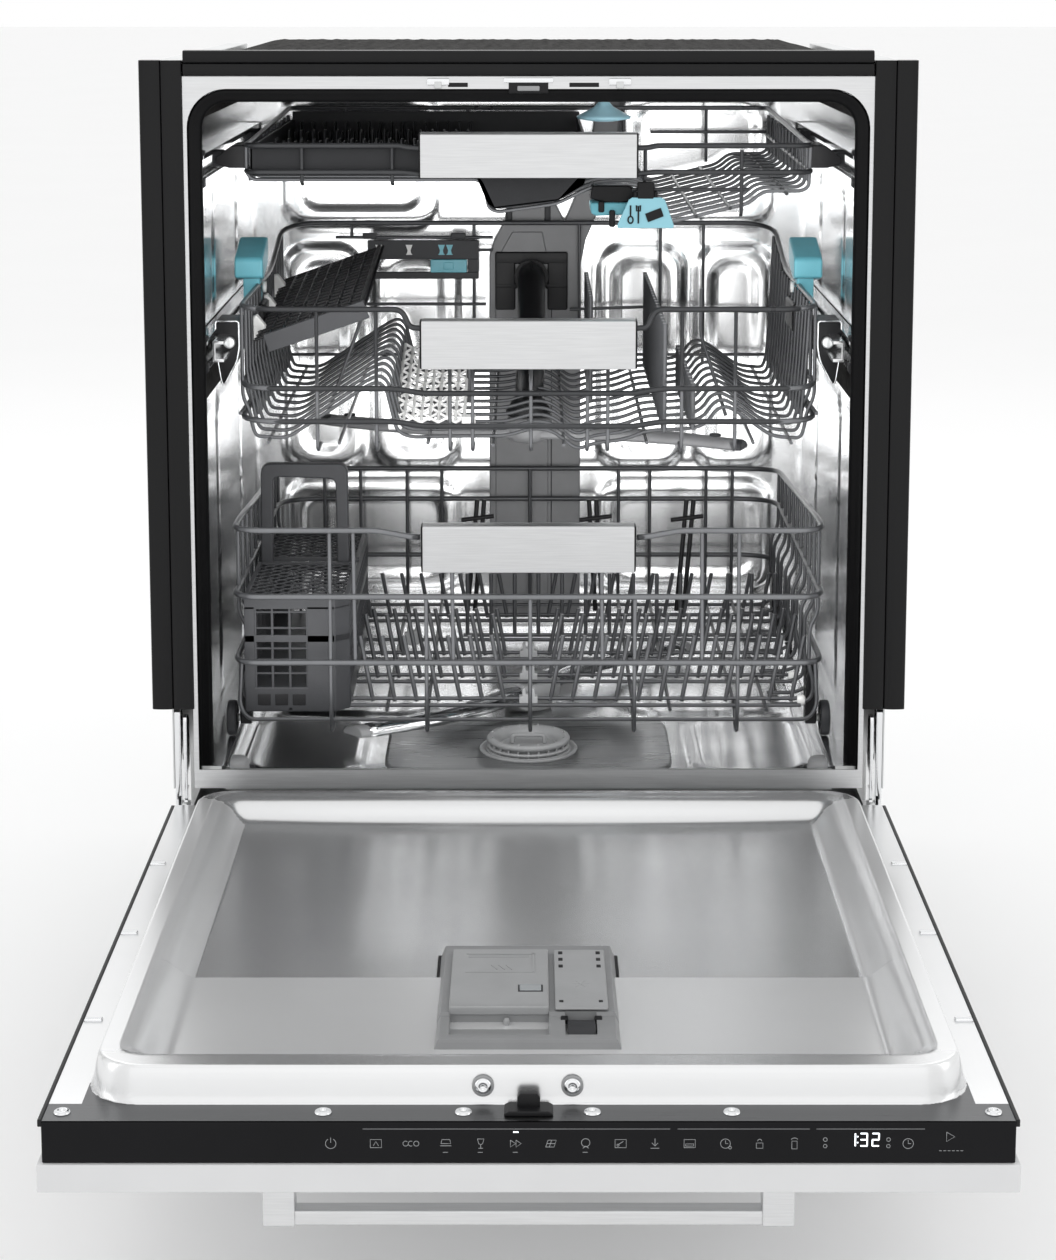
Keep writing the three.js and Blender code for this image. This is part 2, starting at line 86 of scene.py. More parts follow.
# ------------------------------------------------------------------ materials
def mat(name, color, rough, metal=0.0, vary=0.06, rough_vary=0.05, scale=30.0, stretch=(1, 1, 1),
        bump=0.0, bump_scale=None, **sockets):
    """A principled material with noise in its colour, roughness and surface."""
    m = bpy.data.materials.new(name)
    m.use_nodes = True
    nt = m.node_tree
    bsdf = nt.nodes["Principled BSDF"]
    bsdf.inputs["Metallic"].default_value = metal
    for key, value in sockets.items():
        bsdf.inputs[key.replace("_", " ")].default_value = value
    coord = nt.nodes.new("ShaderNodeTexCoord")
    place = nt.nodes.new("ShaderNodeMapping")
    place.inputs["Scale"].default_value = stretch
    nt.links.new(coord.outputs["Object"], place.inputs["Vector"])

    def noise(frequency, detail):
        n = nt.nodes.new("ShaderNodeTexNoise")
        n.inputs["Scale"].default_value = frequency
        n.inputs["Detail"].default_value = detail
        nt.links.new(place.outputs["Vector"], n.inputs["Vector"])
        return n.outputs["Fac"]

    fac = noise(scale, 4.0)
    ramp = nt.nodes.new("ShaderNodeValToRGB")
    for stop, gain, place_at in ((0, 1 - vary, 0.3), (1, 1 + vary, 0.7)):
        ramp.color_ramp.elements[stop].position = place_at
        ramp.color_ramp.elements[stop].color = [min(1.0, c * gain) for c in color[:3]] + [1.0]
    nt.links.new(fac, ramp.inputs["Fac"])
    nt.links.new(ramp.outputs["Color"], bsdf.inputs["Base Color"])
    sheen = nt.nodes.new("ShaderNodeMapRange")
    sheen.inputs["To Min"].default_value = max(0.02, rough - rough_vary)
    sheen.inputs["To Max"].default_value = min(1.0, rough + rough_vary)
    nt.links.new(fac, sheen.inputs["Value"])
    nt.links.new(sheen.outputs["Result"], bsdf.inputs["Roughness"])
    if bump:
        b = nt.nodes.new("ShaderNodeBump")
        b.inputs["Strength"].default_value = bump
        b.inputs["Distance"].default_value = 0.001
        nt.links.new(noise(bump_scale or scale * 4, 3.0), b.inputs["Height"])
        nt.links.new(b.outputs["Normal"], bsdf.inputs["Normal"])
    return m


STEEL = mat("polished_steel", (0.88, 0.885, 0.89), 0.2, 1.0, vary=0.03, rough_vary=0.03, scale=6,
            bump=0.12, bump_scale=9)
LINER = mat("liner_steel", (0.78, 0.785, 0.79), 0.24, 0.84, vary=0.012, rough_vary=0.02, scale=5,
            stretch=(1, 3, 3), bump=0.02, bump_scale=7)
# A lighter, less metallic copy of the liner steel: painted highlight, put on the liner's side slopes, near
# floor and side rims.
SLOPE_HIGHLIGHT_STEEL = mat("slope_steel_painted_highlight", (0.82, 0.825, 0.83), 0.24, 0.55, vary=0.012, rough_vary=0.02, scale=5,
            stretch=(1, 3, 3), bump=0.02, bump_scale=7)
# A near-black copy of the brushed steel: the brushing is the steel's own, the darkness is painted shade, put
# on the liner's rim, tail and side skirts.
RIM_SHADE_STEEL = mat("brushed_rim_painted_shade", (0.13, 0.132, 0.135), 0.3, 1.0, vary=0.07, rough_vary=0.06, scale=20,
          stretch=(1, 40, 40), bump=0.05, bump_scale=120)
ZINC = mat("galvanised", (0.62, 0.63, 0.63), 0.42, 0.85, vary=0.07, rough_vary=0.08, scale=14,
           bump=0.04, bump_scale=200)
BRUSHED = mat("brushed_aluminium", (0.69, 0.695, 0.7), 0.38, 1.0, vary=0.05, rough_vary=0.05,
              scale=30, stretch=(1, 30, 30), bump=0.04, bump_scale=150)
CHROME = mat("chrome", (0.8, 0.81, 0.82), 0.1, 1.0, vary=0.02, rough_vary=0.03, scale=20)
WIRE = mat("coated_wire", (0.06, 0.062, 0.066), 0.3, 0.35, vary=0.08, rough_vary=0.06, scale=60,
           bump=0.05, bump_scale=500)
RUBBER = mat("black_rubber", (0.006, 0.006, 0.0065), 0.5, Specular_IOR_Level=0.12, vary=0.15,
    rough_vary=0.08, scale=40, bump=0.1, bump_scale=400)
TRIM = mat("trim_rubber", (0.006, 0.006, 0.0065), 0.3, Specular_IOR_Level=0.22, vary=0.15, rough_vary=0.06,
    scale=20, stretch=(1, 1, 0.2), bump=0.05, bump_scale=300)
FELT = mat("bitumen_felt", (0.03, 0.029, 0.028), 0.85, Specular_IOR_Level=0.15, vary=0.75, rough_vary=0.1,
    scale=160, bump=0.9, bump_scale=260)
BLACK = mat("black_glass", (0.006, 0.006, 0.007), 0.12, vary=0.1, rough_vary=0.02, scale=20,
            Specular_IOR_Level=0.14)
DARK = mat("graphite_plastic", (0.034, 0.035, 0.038), 0.46, Specular_IOR_Level=0.28, vary=0.1,
    rough_vary=0.07, scale=50, bump=0.12, bump_scale=900)
DARKER = mat("black_plastic", (0.009, 0.009, 0.01), 0.42, Specular_IOR_Level=0.25, vary=0.12,
    rough_vary=0.07, scale=50, bump=0.1, bump_scale=900)
GREY = mat("channel_plastic", (0.19, 0.192, 0.197), 0.42, vary=0.07, rough_vary=0.06, scale=40,
           bump=0.08, bump_scale=700)
MIDGREY = mat("mid_grey_plastic", (0.3, 0.305, 0.31), 0.42, vary=0.06, rough_vary=0.06, scale=40,
              bump=0.08, bump_scale=700)
LIGHT = mat("dispenser_plastic", (0.33, 0.335, 0.34), 0.38, vary=0.05, rough_vary=0.05, scale=40,
            bump=0.08, bump_scale=800)
SHELL = mat("shell_plastic", (0.24, 0.244, 0.248), 0.38, vary=0.05, rough_vary=0.05, scale=40,
            bump=0.08, bump_scale=800)
CLEAR = mat("clear_plastic", (0.72, 0.76, 0.78), 0.16, vary=0.04, rough_vary=0.04, scale=40,
            Transmission_Weight=0.55, IOR=1.45)
AQUA = mat("aqua_plastic", (0.13, 0.42, 0.5), 0.34, vary=0.05, rough_vary=0.05, scale=60,
           bump=0.05, bump_scale=700)
PALEBLUE = mat("pale_blue_plastic", (0.36, 0.62, 0.72), 0.34, vary=0.05, rough_vary=0.05, scale=60)
WHITE = mat("white_lacquer", (0.66, 0.664, 0.67), 0.34, vary=0.015, rough_vary=0.05, scale=25,
            bump=0.02, bump_scale=300)
IVORY = mat("white_plastic", (0.72, 0.72, 0.71), 0.42, vary=0.04, rough_vary=0.05, scale=60)
PRINT = mat("icon_print", (0.42, 0.43, 0.44), 0.5, vary=0.03, scale=60)
GLOW = mat("display_light", (0.9, 0.95, 1.0), 0.5, vary=0.01, scale=60,
           Emission_Color=(0.9, 0.95, 1.0, 1.0), Emission_Strength=2.0)


# ------------------------------------------------------------------ making pieces
def settle(obj, body, material, smooth=True):
    """Gives a new piece its finish and the CAD body it moves with."""
    if obj.data.materials:
        obj.data.materials.clear()
    obj.data.materials.append(material)
    if smooth and obj.type == "MESH":
        for p in obj.data.polygons:
            p.use_smooth = True
    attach(obj, body)
    return obj


def mesh_piece(name, verts, faces, body, material, smooth=False):
    data = bpy.data.meshes.new(name)
    data.from_pydata([tuple(v) for v in verts], [], faces)
    obj = bpy.data.objects.new(name, data)
    bpy.context.scene.collection.objects.link(obj)
    bm = bmesh.new()
    bm.from_mesh(data)
    bmesh.ops.recalc_face_normals(bm, faces=bm.faces)
    bm.to_mesh(data)
    bm.free()
    return settle(obj, body, material, smooth)


def soften(obj, width, segments=2):
    """Rounds a piece's edges and keeps its flats flat."""
    bevel = obj.modifiers.new("edges", "BEVEL")
    bevel.width = width * MM
    bevel.segments = segments
    bevel.limit_method = "ANGLE"
    bevel.angle_limit = radians(35)
    normal = obj.modifiers.new("flats", "WEIGHTED_NORMAL")
    normal.keep_sharp = False
    for p in obj.data.polygons:
        p.use_smooth = True
    return obj


BOX_FACES = ((0, 1, 3, 2), (4, 6, 7, 5), (0, 4, 5, 1), (2, 3, 7, 6), (0, 2, 6, 4), (1, 5, 7, 3))


def many_bricks(name, boxes, body, material, edge=0.5, segments=1):
    """Moulded blocks, each between two corners, as one piece with rounded edges."""
    verts, faces = [], []
    for (x0, y0, z0), (x1, y1, z1) in boxes:
        faces += [tuple(len(verts) + i for i in f) for f in BOX_FACES]
        verts += [at(x, y, z) for x in (x0, x1) for y in (y0, y1) for z in (z0, z1)]
    obj = mesh_piece(name, verts, faces, body, material)
    return soften(obj, edge, segments) if edge else obj


def brick(name, lo, hi, body, material, edge=1.0, segments=2):
    return many_bricks(name, [(lo, hi)], body, material, edge, segments)


AXES = {"x": lambda u, v, w: at(w, u, v),
        "y": lambda u, v, w: at(u, w, v),
        "z": lambda u, v, w: at(u, v, w)}


def prism(name, outline, axis, low, high, body, material, edge=0.6, segments=2, smooth=False):
    """An outline run along an axis, in (y, z) for x, (x, z) for y and (x, y) for z."""
    n = len(outline)
    verts = [AXES[axis](u, v, w) for w in (low, high) for u, v in outline]
    faces = [tuple(range(n)), tuple(range(2 * n - 1, n - 1, -1))]
    faces += [(i, (i + 1) % n, n + (i + 1) % n, n + i) for i in range(n)]
    obj = mesh_piece(name, verts, faces, body, material, smooth)
    return soften(obj, edge, segments) if edge else obj


def loft(name, rings, body, material, closed=True, caps=True, smooth=True):
    """A skin over rings of points in metres, all with the same count."""
    n = len(rings[0])
    verts = [p for ring in rings for p in ring]
    faces = []
    for r in range(len(rings) - 1):
        for i in range(n if closed else n - 1):
            j = (i + 1) % n
            faces.append((r * n + i, r * n + j, (r + 1) * n + j, (r + 1) * n + i))
    if caps:
        faces += [tuple(range(n)), tuple(range(len(verts) - 1, len(verts) - n - 1, -1))]
    return mesh_piece(name, verts, faces, body, material, smooth)


def turned(name, centre, profile, body, material, axis="z", count=40, smooth=True):
    """A turned piece: profile is (radius, height) from one end to the other."""
    def ring(r, h):
        out = []
        for i in range(count):
            a = 2 * pi * i / count
            c, s = r * cos(a), r * sin(a)
            d = {"z": (c, s, h), "x": (h, c, s), "y": (c, h, s)}[axis]
            out.append(at(*[centre[k] + d[k] for k in range(3)]))
        return out
    return loft(name, [ring(max(r, 0.01), h) for r, h in profile], body, material, smooth=smooth)


def rounded(points, radius, steps=5, cyclic=False):
    """Rounds the corners of a polyline given in millimetres."""
    pts = [Vector(p) for p in points]
    out = []
    last = len(pts) - 1
    for i, p in enumerate(pts):
        if not cyclic and i in (0, last):
            out.append(p)
            continue
        a, b = pts[i - 1] - p, pts[(i + 1) % len(pts)] - p
        r = min(radius, a.length * 0.49, b.length * 0.49)
        start, end = p + a.normalized() * r, p + b.normalized() * r
        for k in range(steps + 1):
            t = k / steps
            out.append(start * (1 - t) ** 2 + p * 2 * t * (1 - t) + end * t * t)
    return out


def wires(name, paths, radius, body, material, res=2):
    """One curve piece holding many round wires. A path is (points, cyclic) or a list of points."""
    data = bpy.data.curves.new(name, "CURVE")
    data.dimensions = "3D"
    data.bevel_depth = radius * MM
    data.bevel_resolution = res
    data.use_fill_caps = True
    for path in paths:
        pts, cyclic = path if isinstance(path, tuple) and isinstance(path[1], bool) else (path, False)
        spline = data.splines.new("POLY")
        spline.points.add(len(pts) - 1)
        for k, p in enumerate(pts):
            spline.points[k].co = (*at(*p), 1.0)
        spline.use_cyclic_u = cyclic
    obj = bpy.data.objects.new(name, data)
    bpy.context.scene.collection.objects.link(obj)
    data.materials.append(material)
    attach(obj, body)
    return obj


def relief(name, place, w, h, nu, nv, height, body, material):
    """A pressed sheet: a grid over w by h millimetres, raised by height(u, v) along its normal.
    place(u, v, d) gives the point in millimetres."""
    us, vs = np.linspace(0, w, nu), np.linspace(0, h, nv)
    grid_u, grid_v = np.meshgrid(us, vs)
    d = height(grid_u, grid_v)
    verts = [at(*place(grid_u[j, i], grid_v[j, i], d[j, i])) for j in range(nv) for i in range(nu)]
    faces = [(j * nu + i, j * nu + i + 1, (j + 1) * nu + i + 1, (j + 1) * nu + i)
             for j in range(nv - 1) for i in range(nu - 1)]
    return mesh_piece(name, verts, faces, body, material, smooth=True)


def plateau(u, v, x0, x1, y0, y1, r, slope):
    """1 inside a rounded rectangle, falling smoothly to 0 over slope millimetres outside it."""
    cx, cy = (x0 + x1) / 2, (y0 + y1) / 2
    qx = np.abs(u - cx) - ((x1 - x0) / 2 - r)
    qy = np.abs(v - cy) - ((y1 - y0) / 2 - r)
    d = np.hypot(np.maximum(qx, 0), np.maximum(qy, 0)) + np.minimum(np.maximum(qx, qy), 0) - r
    return ease(1 - d / slope)


def finish_node(material, *names):
    """Puts a procedural finish on CAD nodes that stay in view."""
    for name in names:
        slots = NODES[name].data.materials
        for i in range(max(1, len(slots))):
            if len(slots):
                slots[i] = material
            else:
                slots.append(material)


# ------------------------------------------------------------------ camera, floor and light
camera = bpy.data.objects.new("camera", bpy.data.cameras.new("camera"))
bpy.context.scene.collection.objects.link(camera)
CAMERA_AT, CAMERA_DOWN = (-0.4, -2138, 886.7), 8.804      # millimetres, and degrees under level
camera.location = at(*CAMERA_AT)
camera.rotation_euler = (radians(90 - CAMERA_DOWN), 0, 0)
camera.data.lens = 75.2
camera.data.sensor_width = 36
camera.data.shift_y = -0.2
bpy.context.scene.camera = camera

FLOOR_HALF = 40.0
floor = mesh_piece("floor", [Vector((x * FLOOR_HALF, y * FLOOR_HALF, 0))
                             for x, y in ((-1, -1), (1, -1), (1, 1), (-1, 1))], [(0, 1, 2, 3)], "cabinet",
                   mat("pale_floor", (0.93, 0.93, 0.93), 0.7, vary=0.005, scale=2))
floor.parent = None

world = bpy.data.worlds.new("studio")
bpy.context.scene.world = world
world.use_nodes = True
world.node_tree.nodes["Background"].inputs["Color"].default_value = (1.0, 1.0, 1.0, 1)
world.node_tree.nodes["Background"].inputs["Strength"].default_value = 1.0


def softbox(name, place, aim, size, power):
    data = bpy.data.lights.new(name, "AREA")
    data.shape = "RECTANGLE"
    data.size, data.size_y = size
    data.energy = power
    lamp = bpy.data.objects.new(name, data)
    bpy.context.scene.collection.objects.link(lamp)
    lamp.location = place
    lamp.rotation_euler = (Vector(aim) - Vector(place)).to_track_quat("-Z", "Y").to_euler()
    return lamp


softbox("front", (0.0, -2.9, 1.0), (0, 0.2, 0.45), (3.4, 1.9), 4)
softbox("key", (0.0, -1.5, 2.6), (0, -0.2, 0.3), (2.2, 1.0), 2)
softbox("mouth", (0.0, FLANGE_Y + 0.041, 0.52), (0, 1.0, 0.47), (0.5, 0.5), 1.6)
softbox("left", (-2.6, -0.9, 1.3), (0, 0.0, 0.4), (0.9, 2.2), 6)
softbox("right", (2.6, -0.9, 1.3), (0, 0.0, 0.4), (0.9, 2.2), 6)
softbox("rear", (0.0, 2.6, 2.4), (0, 0.2, 0.4), (2.5, 1.2), 10)
bpy.context.scene.view_settings.view_transform = "Standard"

# ------------------------------------------------------------------ cabinet outside
HALF, BACK, TOP = node_mm("side_panel_right")[1]
finish_node(ZINC, "side_panel_left", "side_panel_right", "latch_catch", "door_outer_panel")
finish_node(DARK, "base_tray", "sump_housing")
finish_node(FELT, "tub_wrap")
finish_node(ZINC, "tub_back_wall", "tub_floor_pan")


def rolls(u0, u1, depth, count, back):
    """The section of a rubber trim: rounded rolls side by side, flat at the back."""
    width = (u1 - u0) / count
    out = [(u0, back)]
    for i in range(count):
        c = u0 + width * (i + 0.5)
        for k in range(9):
            a = pi * (1 - k / 8)
            out.append((c + width / 2 * cos(a), back - depth * sin(a) ** 0.6 - 0.3))
    return out + [(u1, back)]


for word, side in SIDES:
    (tx0, ty0, tz0), (tx1, ty1, tz1) = node_mm(f"side_trim_{word}")
    inner, outer = (tx1, tx0) if side < 0 else (tx0, tx1)
    split = side * HALF
    front = [(side * a, b) for a, b in rolls(abs(inner), abs(outer), 2.4, 2, ty0 + 2.5)]
    section = front + [(outer, ty1), (split + side * 0.5, ty1), (split + side * 0.5, ty0 + 2.6)]
    roll = prism(f"side_trim_rolls_{word}", section, "z", tz0, tz1, "cabinet", TRIM, edge=0)
    soften(roll, 0.4)
    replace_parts(roll, f"side_trim_{word}")

(tx0, ty0, tz0), (tx1, ty1, tz1) = node_mm("top_trim")
section = [(b, a) for a, b in rolls(tz0, tz1, 3.0, 2, ty0 + 3.2)] + [(ty1, tz1), (ty1, tz0)]
top_rolls = prism("top_trim_rolls", section, "x", tx0, tx1, "cabinet", TRIM, edge=0)
soften(top_rolls, 0.5)
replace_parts(top_rolls, "top_trim")

(ix0, iy0, iz0), (ix1, iy1, iz1) = node_mm("top_insulation")


def felt_height(u, v):
    """The pad is held flat at its edges and swells a little between them."""
    sides, ends = np.minimum(u, ix1 - ix0 - u), np.minimum(v * 1.4, (iy1 - iy0 - v) * 3)
    swell = 9.0 * ease(np.minimum(sides, ends) / 36)
    return swell + 0.5 * np.sin(u * 0.37) * np.sin(v * 0.31) + 0.4 * np.sin(u * 0.83 + v * 0.59)


pad = relief("felt_pad", lambda u, v, d: (ix0 + u, iy0 + v, iz1 - 0.6 + d), ix1 - ix0, iy1 - iy0, 120, 90,
    felt_height, "cabinet", FELT)
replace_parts(pad, "top_insulation")
brick("felt_backing", (ix0, iy0, iz0), (ix1, iy1, iz1 - 1), "cabinet", FELT, 1.0)

# Edges of the top lips, a rear cross rail and the screws that hold the panels.
for word, side in SIDES:
    brick(f"top_lip_fold_{word}", (side * 280 - 0.6, 14, TOP - 9), (side * 280 + 0.6, BACK - 2, TOP - 0.2),
          "cabinet", ZINC, 0.3)
    for k, (y, z) in enumerate(((40, 120), (BACK - 14, 60), (BACK - 14, 420), (BACK - 14, 780))):
        turned(f"panel_screw_{word}_{k}", (side * HALF, y + (80 if k == 0 else 0), z),
               [(0, side * -1), (4, side * -1), (4.2, side * 0.6), (2.4, side * 1.6), (0, side * 1.8)],
               "cabinet", ZINC, axis="x", count=20)
for name, z in (("rear_rail_top", 776), ("rear_rail_low", 150)):
    brick(name, (-HALF + 2, BACK - 9, z), (HALF - 2, BACK - 1, z + 26), "cabinet", ZINC, 0.8)

# Feet: a disc with a ribbed skirt under a threaded stem.
for place in ("front", "rear"):
    for word in ("left", "right"):
        node = f"foot_{place}_{word}"
        (fx0, fy0, _), (fx1, fy1, fz1) = node_mm(node)
        centre = ((fx0 + fx1) / 2, (fy0 + fy1) / 2, 0)
        r = (fx1 - fx0) / 2 - 0.2
        profile = [(0, 0), (r - 1, 0), (r, 1), (r, 5), (r - 3, 8), (9, 9), (8, 14), (5.4, 14)]
        z = 15.0
        while z < fz1 - 4:
            profile += [(5.4, z), (4.6, z + 1)]
            z += 2.0
        profile += [(4.6, fz1 - 2), (3.5, fz1), (0, fz1)]
        foot = turned(f"{node}_turned", centre, profile, node, DARK, count=28)
        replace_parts(foot, node)

# Pump with its motor fins.
(qx0, qy0, qz0), (qx1, qy1, qz1) = node_mm("circulation_pump")
cy, cz, pr = (qy0 + qy1) / 2, (qz0 + qz1) / 2, (qy1 - qy0) / 2 - 1
profile = [(0, qx0), (pr - 8, qx0), (pr, qx0 + 8)]
x = qx0 + 20
while x < 48:
    profile += [(pr, x), (pr - 4, x + 1), (pr - 4, x + 5), (pr, x + 6)]
    x += 12
profile += [(pr, 54), (pr - 3, 59), (33, 60), (33, qx1 - 6), (28, qx1), (0, qx1)]
pump = turned("pump_casing", (0, cy, cz), profile, "cabinet", DARKER, axis="x", count=48)
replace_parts(pump, "circulation_pump")

# ------------------------------------------------------------------ flange, gasket and latch
MOUTH_HALF, MOUTH_TOP, SILL, CORNER = 277.0, 792.0, 222.0, 32.0


def arch(half, top, r, foot, steps=10):
    """An upside-down U in (x, z), from the right foot round to the left foot."""
    out = [(half, foot)]
    for cx, a0 in ((half - r, 0), (-half + r, 90)):
        for k in range(steps + 1):
            a = radians(a0 + 90 * k / steps)
            out.append((cx + r * cos(a), top - r + r * sin(a)))
    return out + [(-half, foot)]


(gx0, _, gz0), (gx1, _, gz1) = node_mm("front_flange")
outer = [(281, gz0), (281, 275), (gx1, 275), (gx1, gz1), (gx0, gz1), (gx0, 275), (-281, 275), (-281, gz0)]
inner = arch(MOUTH_HALF, MOUTH_TOP, CORNER, SILL)
flange_mesh = bmesh.new()
loops = []
for y in (0.0, 1.2):
    rings = [[flange_mesh.verts.new(at(x, y, z)) for x, z in ring] for ring in (outer, inner)]
    edges = [flange_mesh.edges.new((ring[i], ring[(i + 1) % len(ring)])) for ring in rings
             for i in range(len(ring))]
    bmesh.ops.triangle_fill(flange_mesh, edges=edges, use_beauty=True)
    loops.append(rings)
for k in range(2):
    a, b = loops[0][k], loops[1][k]
    for i in range(len(a)):
        j = (i + 1) % len(a)
        flange_mesh.faces.new((a[i], a[j], b[j], b[i]))
bmesh.ops.recalc_face_normals(flange_mesh, faces=flange_mesh.faces)
flange_data = bpy.data.meshes.new("flange_plate")
flange_mesh.to_mesh(flange_data)
flange_mesh.free()
flange = bpy.data.objects.new("flange_plate", flange_data)
bpy.context.scene.collection.objects.link(flange)
settle(flange, "cabinet", BRUSHED, smooth=False)
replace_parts(flange, "front_flange")


def sweep(name, path, section, body, material):
    """Runs a closed section (across, along y) round a path in (x, z), across being inward."""
    rings = []
    for i, (x, z) in enumerate(path):
        ax, az = path[max(i - 1, 0)]
        bx, bz = path[min(i + 1, len(path) - 1)]
        length = hypot(bx - ax, bz - az) or 1
        nx, nz = -(bz - az) / length, (bx - ax) / length
        rings.append([at(x + nx * s, y, z + nz * s) for s, y in section])
    return loft(name, rings, body, material)


lip = [(0, 2), (0, 15), (3, 16)] + [(6 + 4.5 * sin(a), 11 - 6.5 * cos(a)) for a in
                                  [pi * (1 - k / 8) for k in range(9)]] + [(4, 3), (2, 1.2)]
gasket = sweep("gasket_lip", arch(MOUTH_HALF - 0.6, MOUTH_TOP - 0.6, CORNER, SILL + 3), lip, "cabinet",
    RUBBER)
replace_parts(gasket, "door_gasket")

# Things let into the flange's top member: latch pocket, slots and small clips.
brick("latch_pocket", (-16, -1.6, 788.5), (16, 0.6, 799), "cabinet", DARKER, 0.8)
brick("latch_pocket_lip", (-20, -2.4, 797), (20, 0.4, 801), "cabinet", CHROME, 0.6)
brick("latch_bolt", (-9, -3.0, 790.5), (9, 1.0, 794.5), "cabinet", MIDGREY, 0.8)
for k, x in enumerate((-73, 74)):
    brick(f"flange_clip_{k}", (x - 9, -2.8, 795), (x + 9, 0.3, 800.5), "cabinet", CHROME, 0.8)
    brick(f"flange_clip_tongue_{k}", (x - 3, -3.8, 792.5), (x + 3, 0.3, 798), "cabinet", ZINC, 0.6)
# The slots are thin black patches on the flange face: painted shade where the openings are.
for k, (x, w) in enumerate(((-57, 8), (45, 12))):
    brick(f"flange_slot_shade_{k}", (x - w, -0.35, 793.5), (x + w, 0.3, 797), "cabinet", DARKER, 0.4)

# ------------------------------------------------------------------ tub inside
TUB = 277.4                      # skin's half width
ROOF = 791.2
TUB_R = 31.0
FRONT_Y, REAR_Y = 17.0, 485.4
FLOOR_Z = 205.6
side_h = ROOF - TUB_R - FLOOR_Z
arc = pi / 2 * TUB_R
wrap_len = 2 * (side_h + arc + TUB - TUB_R)


def wrap_place(u, v, d):
    """Left wall up, over the roof and down the right wall; d is inward."""
    side, y = (-1 if u <= wrap_len / 2 else 1), FRONT_Y + v
    u = u if side < 0 else wrap_len - u              # the right half mirrors the left
    if u <= side_h:
        return side * (TUB - d), y, FLOOR_Z + u
    if u <= side_h + arc:
        a = (u - side_h) / TUB_R
        x, z = (TUB_R - d) * cos(a), (TUB_R - d) * sin(a)
        return side * (TUB - TUB_R + x), y, ROOF - TUB_R + z
    return side * (TUB - TUB_R - (u - side_h - arc)), y, ROOF - d


def wrap_height(u, v):
    """Ribs and pressed fields, the same on both side walls, and long fields in the roof."""
    mirror = np.minimum(u, wrap_len - u)          # height above the floor on either wall
    d = np.zeros_like(u)
    for y0, y1 in ((26, 118), (142, 300), (324, 440)):
        d += 3.2 * plateau(mirror, v, 40, 300, y0, y1, 22, 12)
        d += 2.6 * plateau(mirror, v, 392, 486, y0, y1, 18, 10)
    d -= 1.0 * plateau(mirror, v, 318, 376, -50, 600, 4, 8)
    across = np.abs(u - wrap_len / 2)
    for x0, x1 in ((20, 90), (125, 215)):
        d += 2.4 * plateau(across, v, x0, x1, 40, 430, 24, 12)
    return d


relief("tub_skin", wrap_place, wrap_len, REAR_Y - FRONT_Y, 300, 110, wrap_height, "cabinet", STEEL)


def back_height(u, v):
    x, z = u - TUB, v + FLOOR_Z
    d = np.zeros_like(u)
    for side in (-1, 1):
        for z0, z1, x0, x1 in ((640, 765, 95, 238), (395, 610, 75, 150), (395, 610, 172, 240),
                               (268, 372, 75, 240)):
            d += 4.0 * plateau(side * x, z, x0, x1, z0, z1, 20, 9)
            d -= 2.6 * plateau(side * x, z, x0 + 16, x1 - 16, z0 + 16, z1 - 16, 14, 7)
    for z0 in (222, 238, 254):
        d += 2.2 * plateau(x, z, -250, 250, z0, z0 + 4, 2, 6)
    return d


relief("tub_back_skin", lambda u, v, d: (u - TUB, REAR_Y - d, v + FLOOR_Z), 2 * TUB, ROOF - FLOOR_Z,
       150, 150, back_height, "cabinet", STEEL)


def floor_height(u, v):
    """The pan slopes to the sump, with a shelf along each side for the wheels."""
    x, y = u - TUB, v + 5
    r = np.hypot(x / 1.5, (y - 150))
    d = 7.0 * np.clip((r - 60) / 240, 0, 1) ** 1.4
    d += 3.4 * plateau(np.abs(x), y, 150, 236, 36, 196, 26, 12)
    d += 2.6 * plateau(np.abs(x), y, 90, 236, 225, 440, 34, 14)
    d += (18.2 - d) * ease((np.abs(x) - 246) / 9)
    front = np.clip((14 - (y - 5)) / 14, 0, 1)
    d = np.maximum(d, 16.0 * front ** 1.5 * np.where(np.abs(x) < 258, 1, 0))
    return d


relief("tub_floor_skin", lambda u, v, d: (u - TUB, v + 5, FLOOR_Z + d), 2 * TUB, REAR_Y - 5,
       190, 150, floor_height, "cabinet", STEEL)

# ------------------------------------------------------------------ door, lowered
RIM_Z = 195.0
RIDGE = 23.0
_, PANEL_Y, PANEL_Z0 = node_mm("control_panel")[0]
RING = (275.0, PANEL_Y + 25.0, -38.0, 34.0)      # half width, near edge, far edge, corner radius
STEP_Y = -414.0


def steps(*runs):
    """Grid lines from runs of (start, end, spacing), denser where the sheet bends."""
    parts = [np.linspace(a, b, max(2, int(round((b - a) / gap)) + 1))[:-1] for a, b, gap in runs]
    return np.concatenate(parts + [np.array([runs[-1][1]])])


def inside(x, y, half, y0, y1, r):
    """Distance in millimetres inside a rounded rectangle, negative outside it."""
    qx = np.abs(x) - (half - r)
    qy = np.abs(y - (y0 + y1) / 2) - ((y1 - y0) / 2 - r)
    return r - np.hypot(np.maximum(qx, 0), np.maximum(qy, 0)) - np.minimum(np.maximum(qx, qy), 0)


def liner_z(x, y):
    half, y0, y1, r = RING
    t = inside(x, y, half, y0, y1, r)
    z = RIM_Z + RIDGE * ease(t / 6.0) ** 0.8
    q = inside(x, y, half - 18, y0 + 21, y1 - 13, r - 13)
    floor_near, floor_far = RIM_Z + 8.5, RIM_Z + 2.6
    ground = floor_far + (floor_near - floor_far) * ease((STEP_Y + 1.5 - y) / 3.0)
    ground = ground - 4.0 * np.clip((STEP_Y - y - 2) / 130.0, 0, 1)
    ground = ground + 2.4 * (np.abs(x) / 235.0) ** 3 * (y > STEP_Y) + 1.2 * ease((y + 200) / 150.0)
    drop = 1.6 * ease(q / 2.5) + (RIM_Z + RIDGE - 1.6 - ground) * ease((q - 4.0) / 24.0)
    return np.where(q > 0, np.minimum(z, RIM_Z + RIDGE - drop), z)


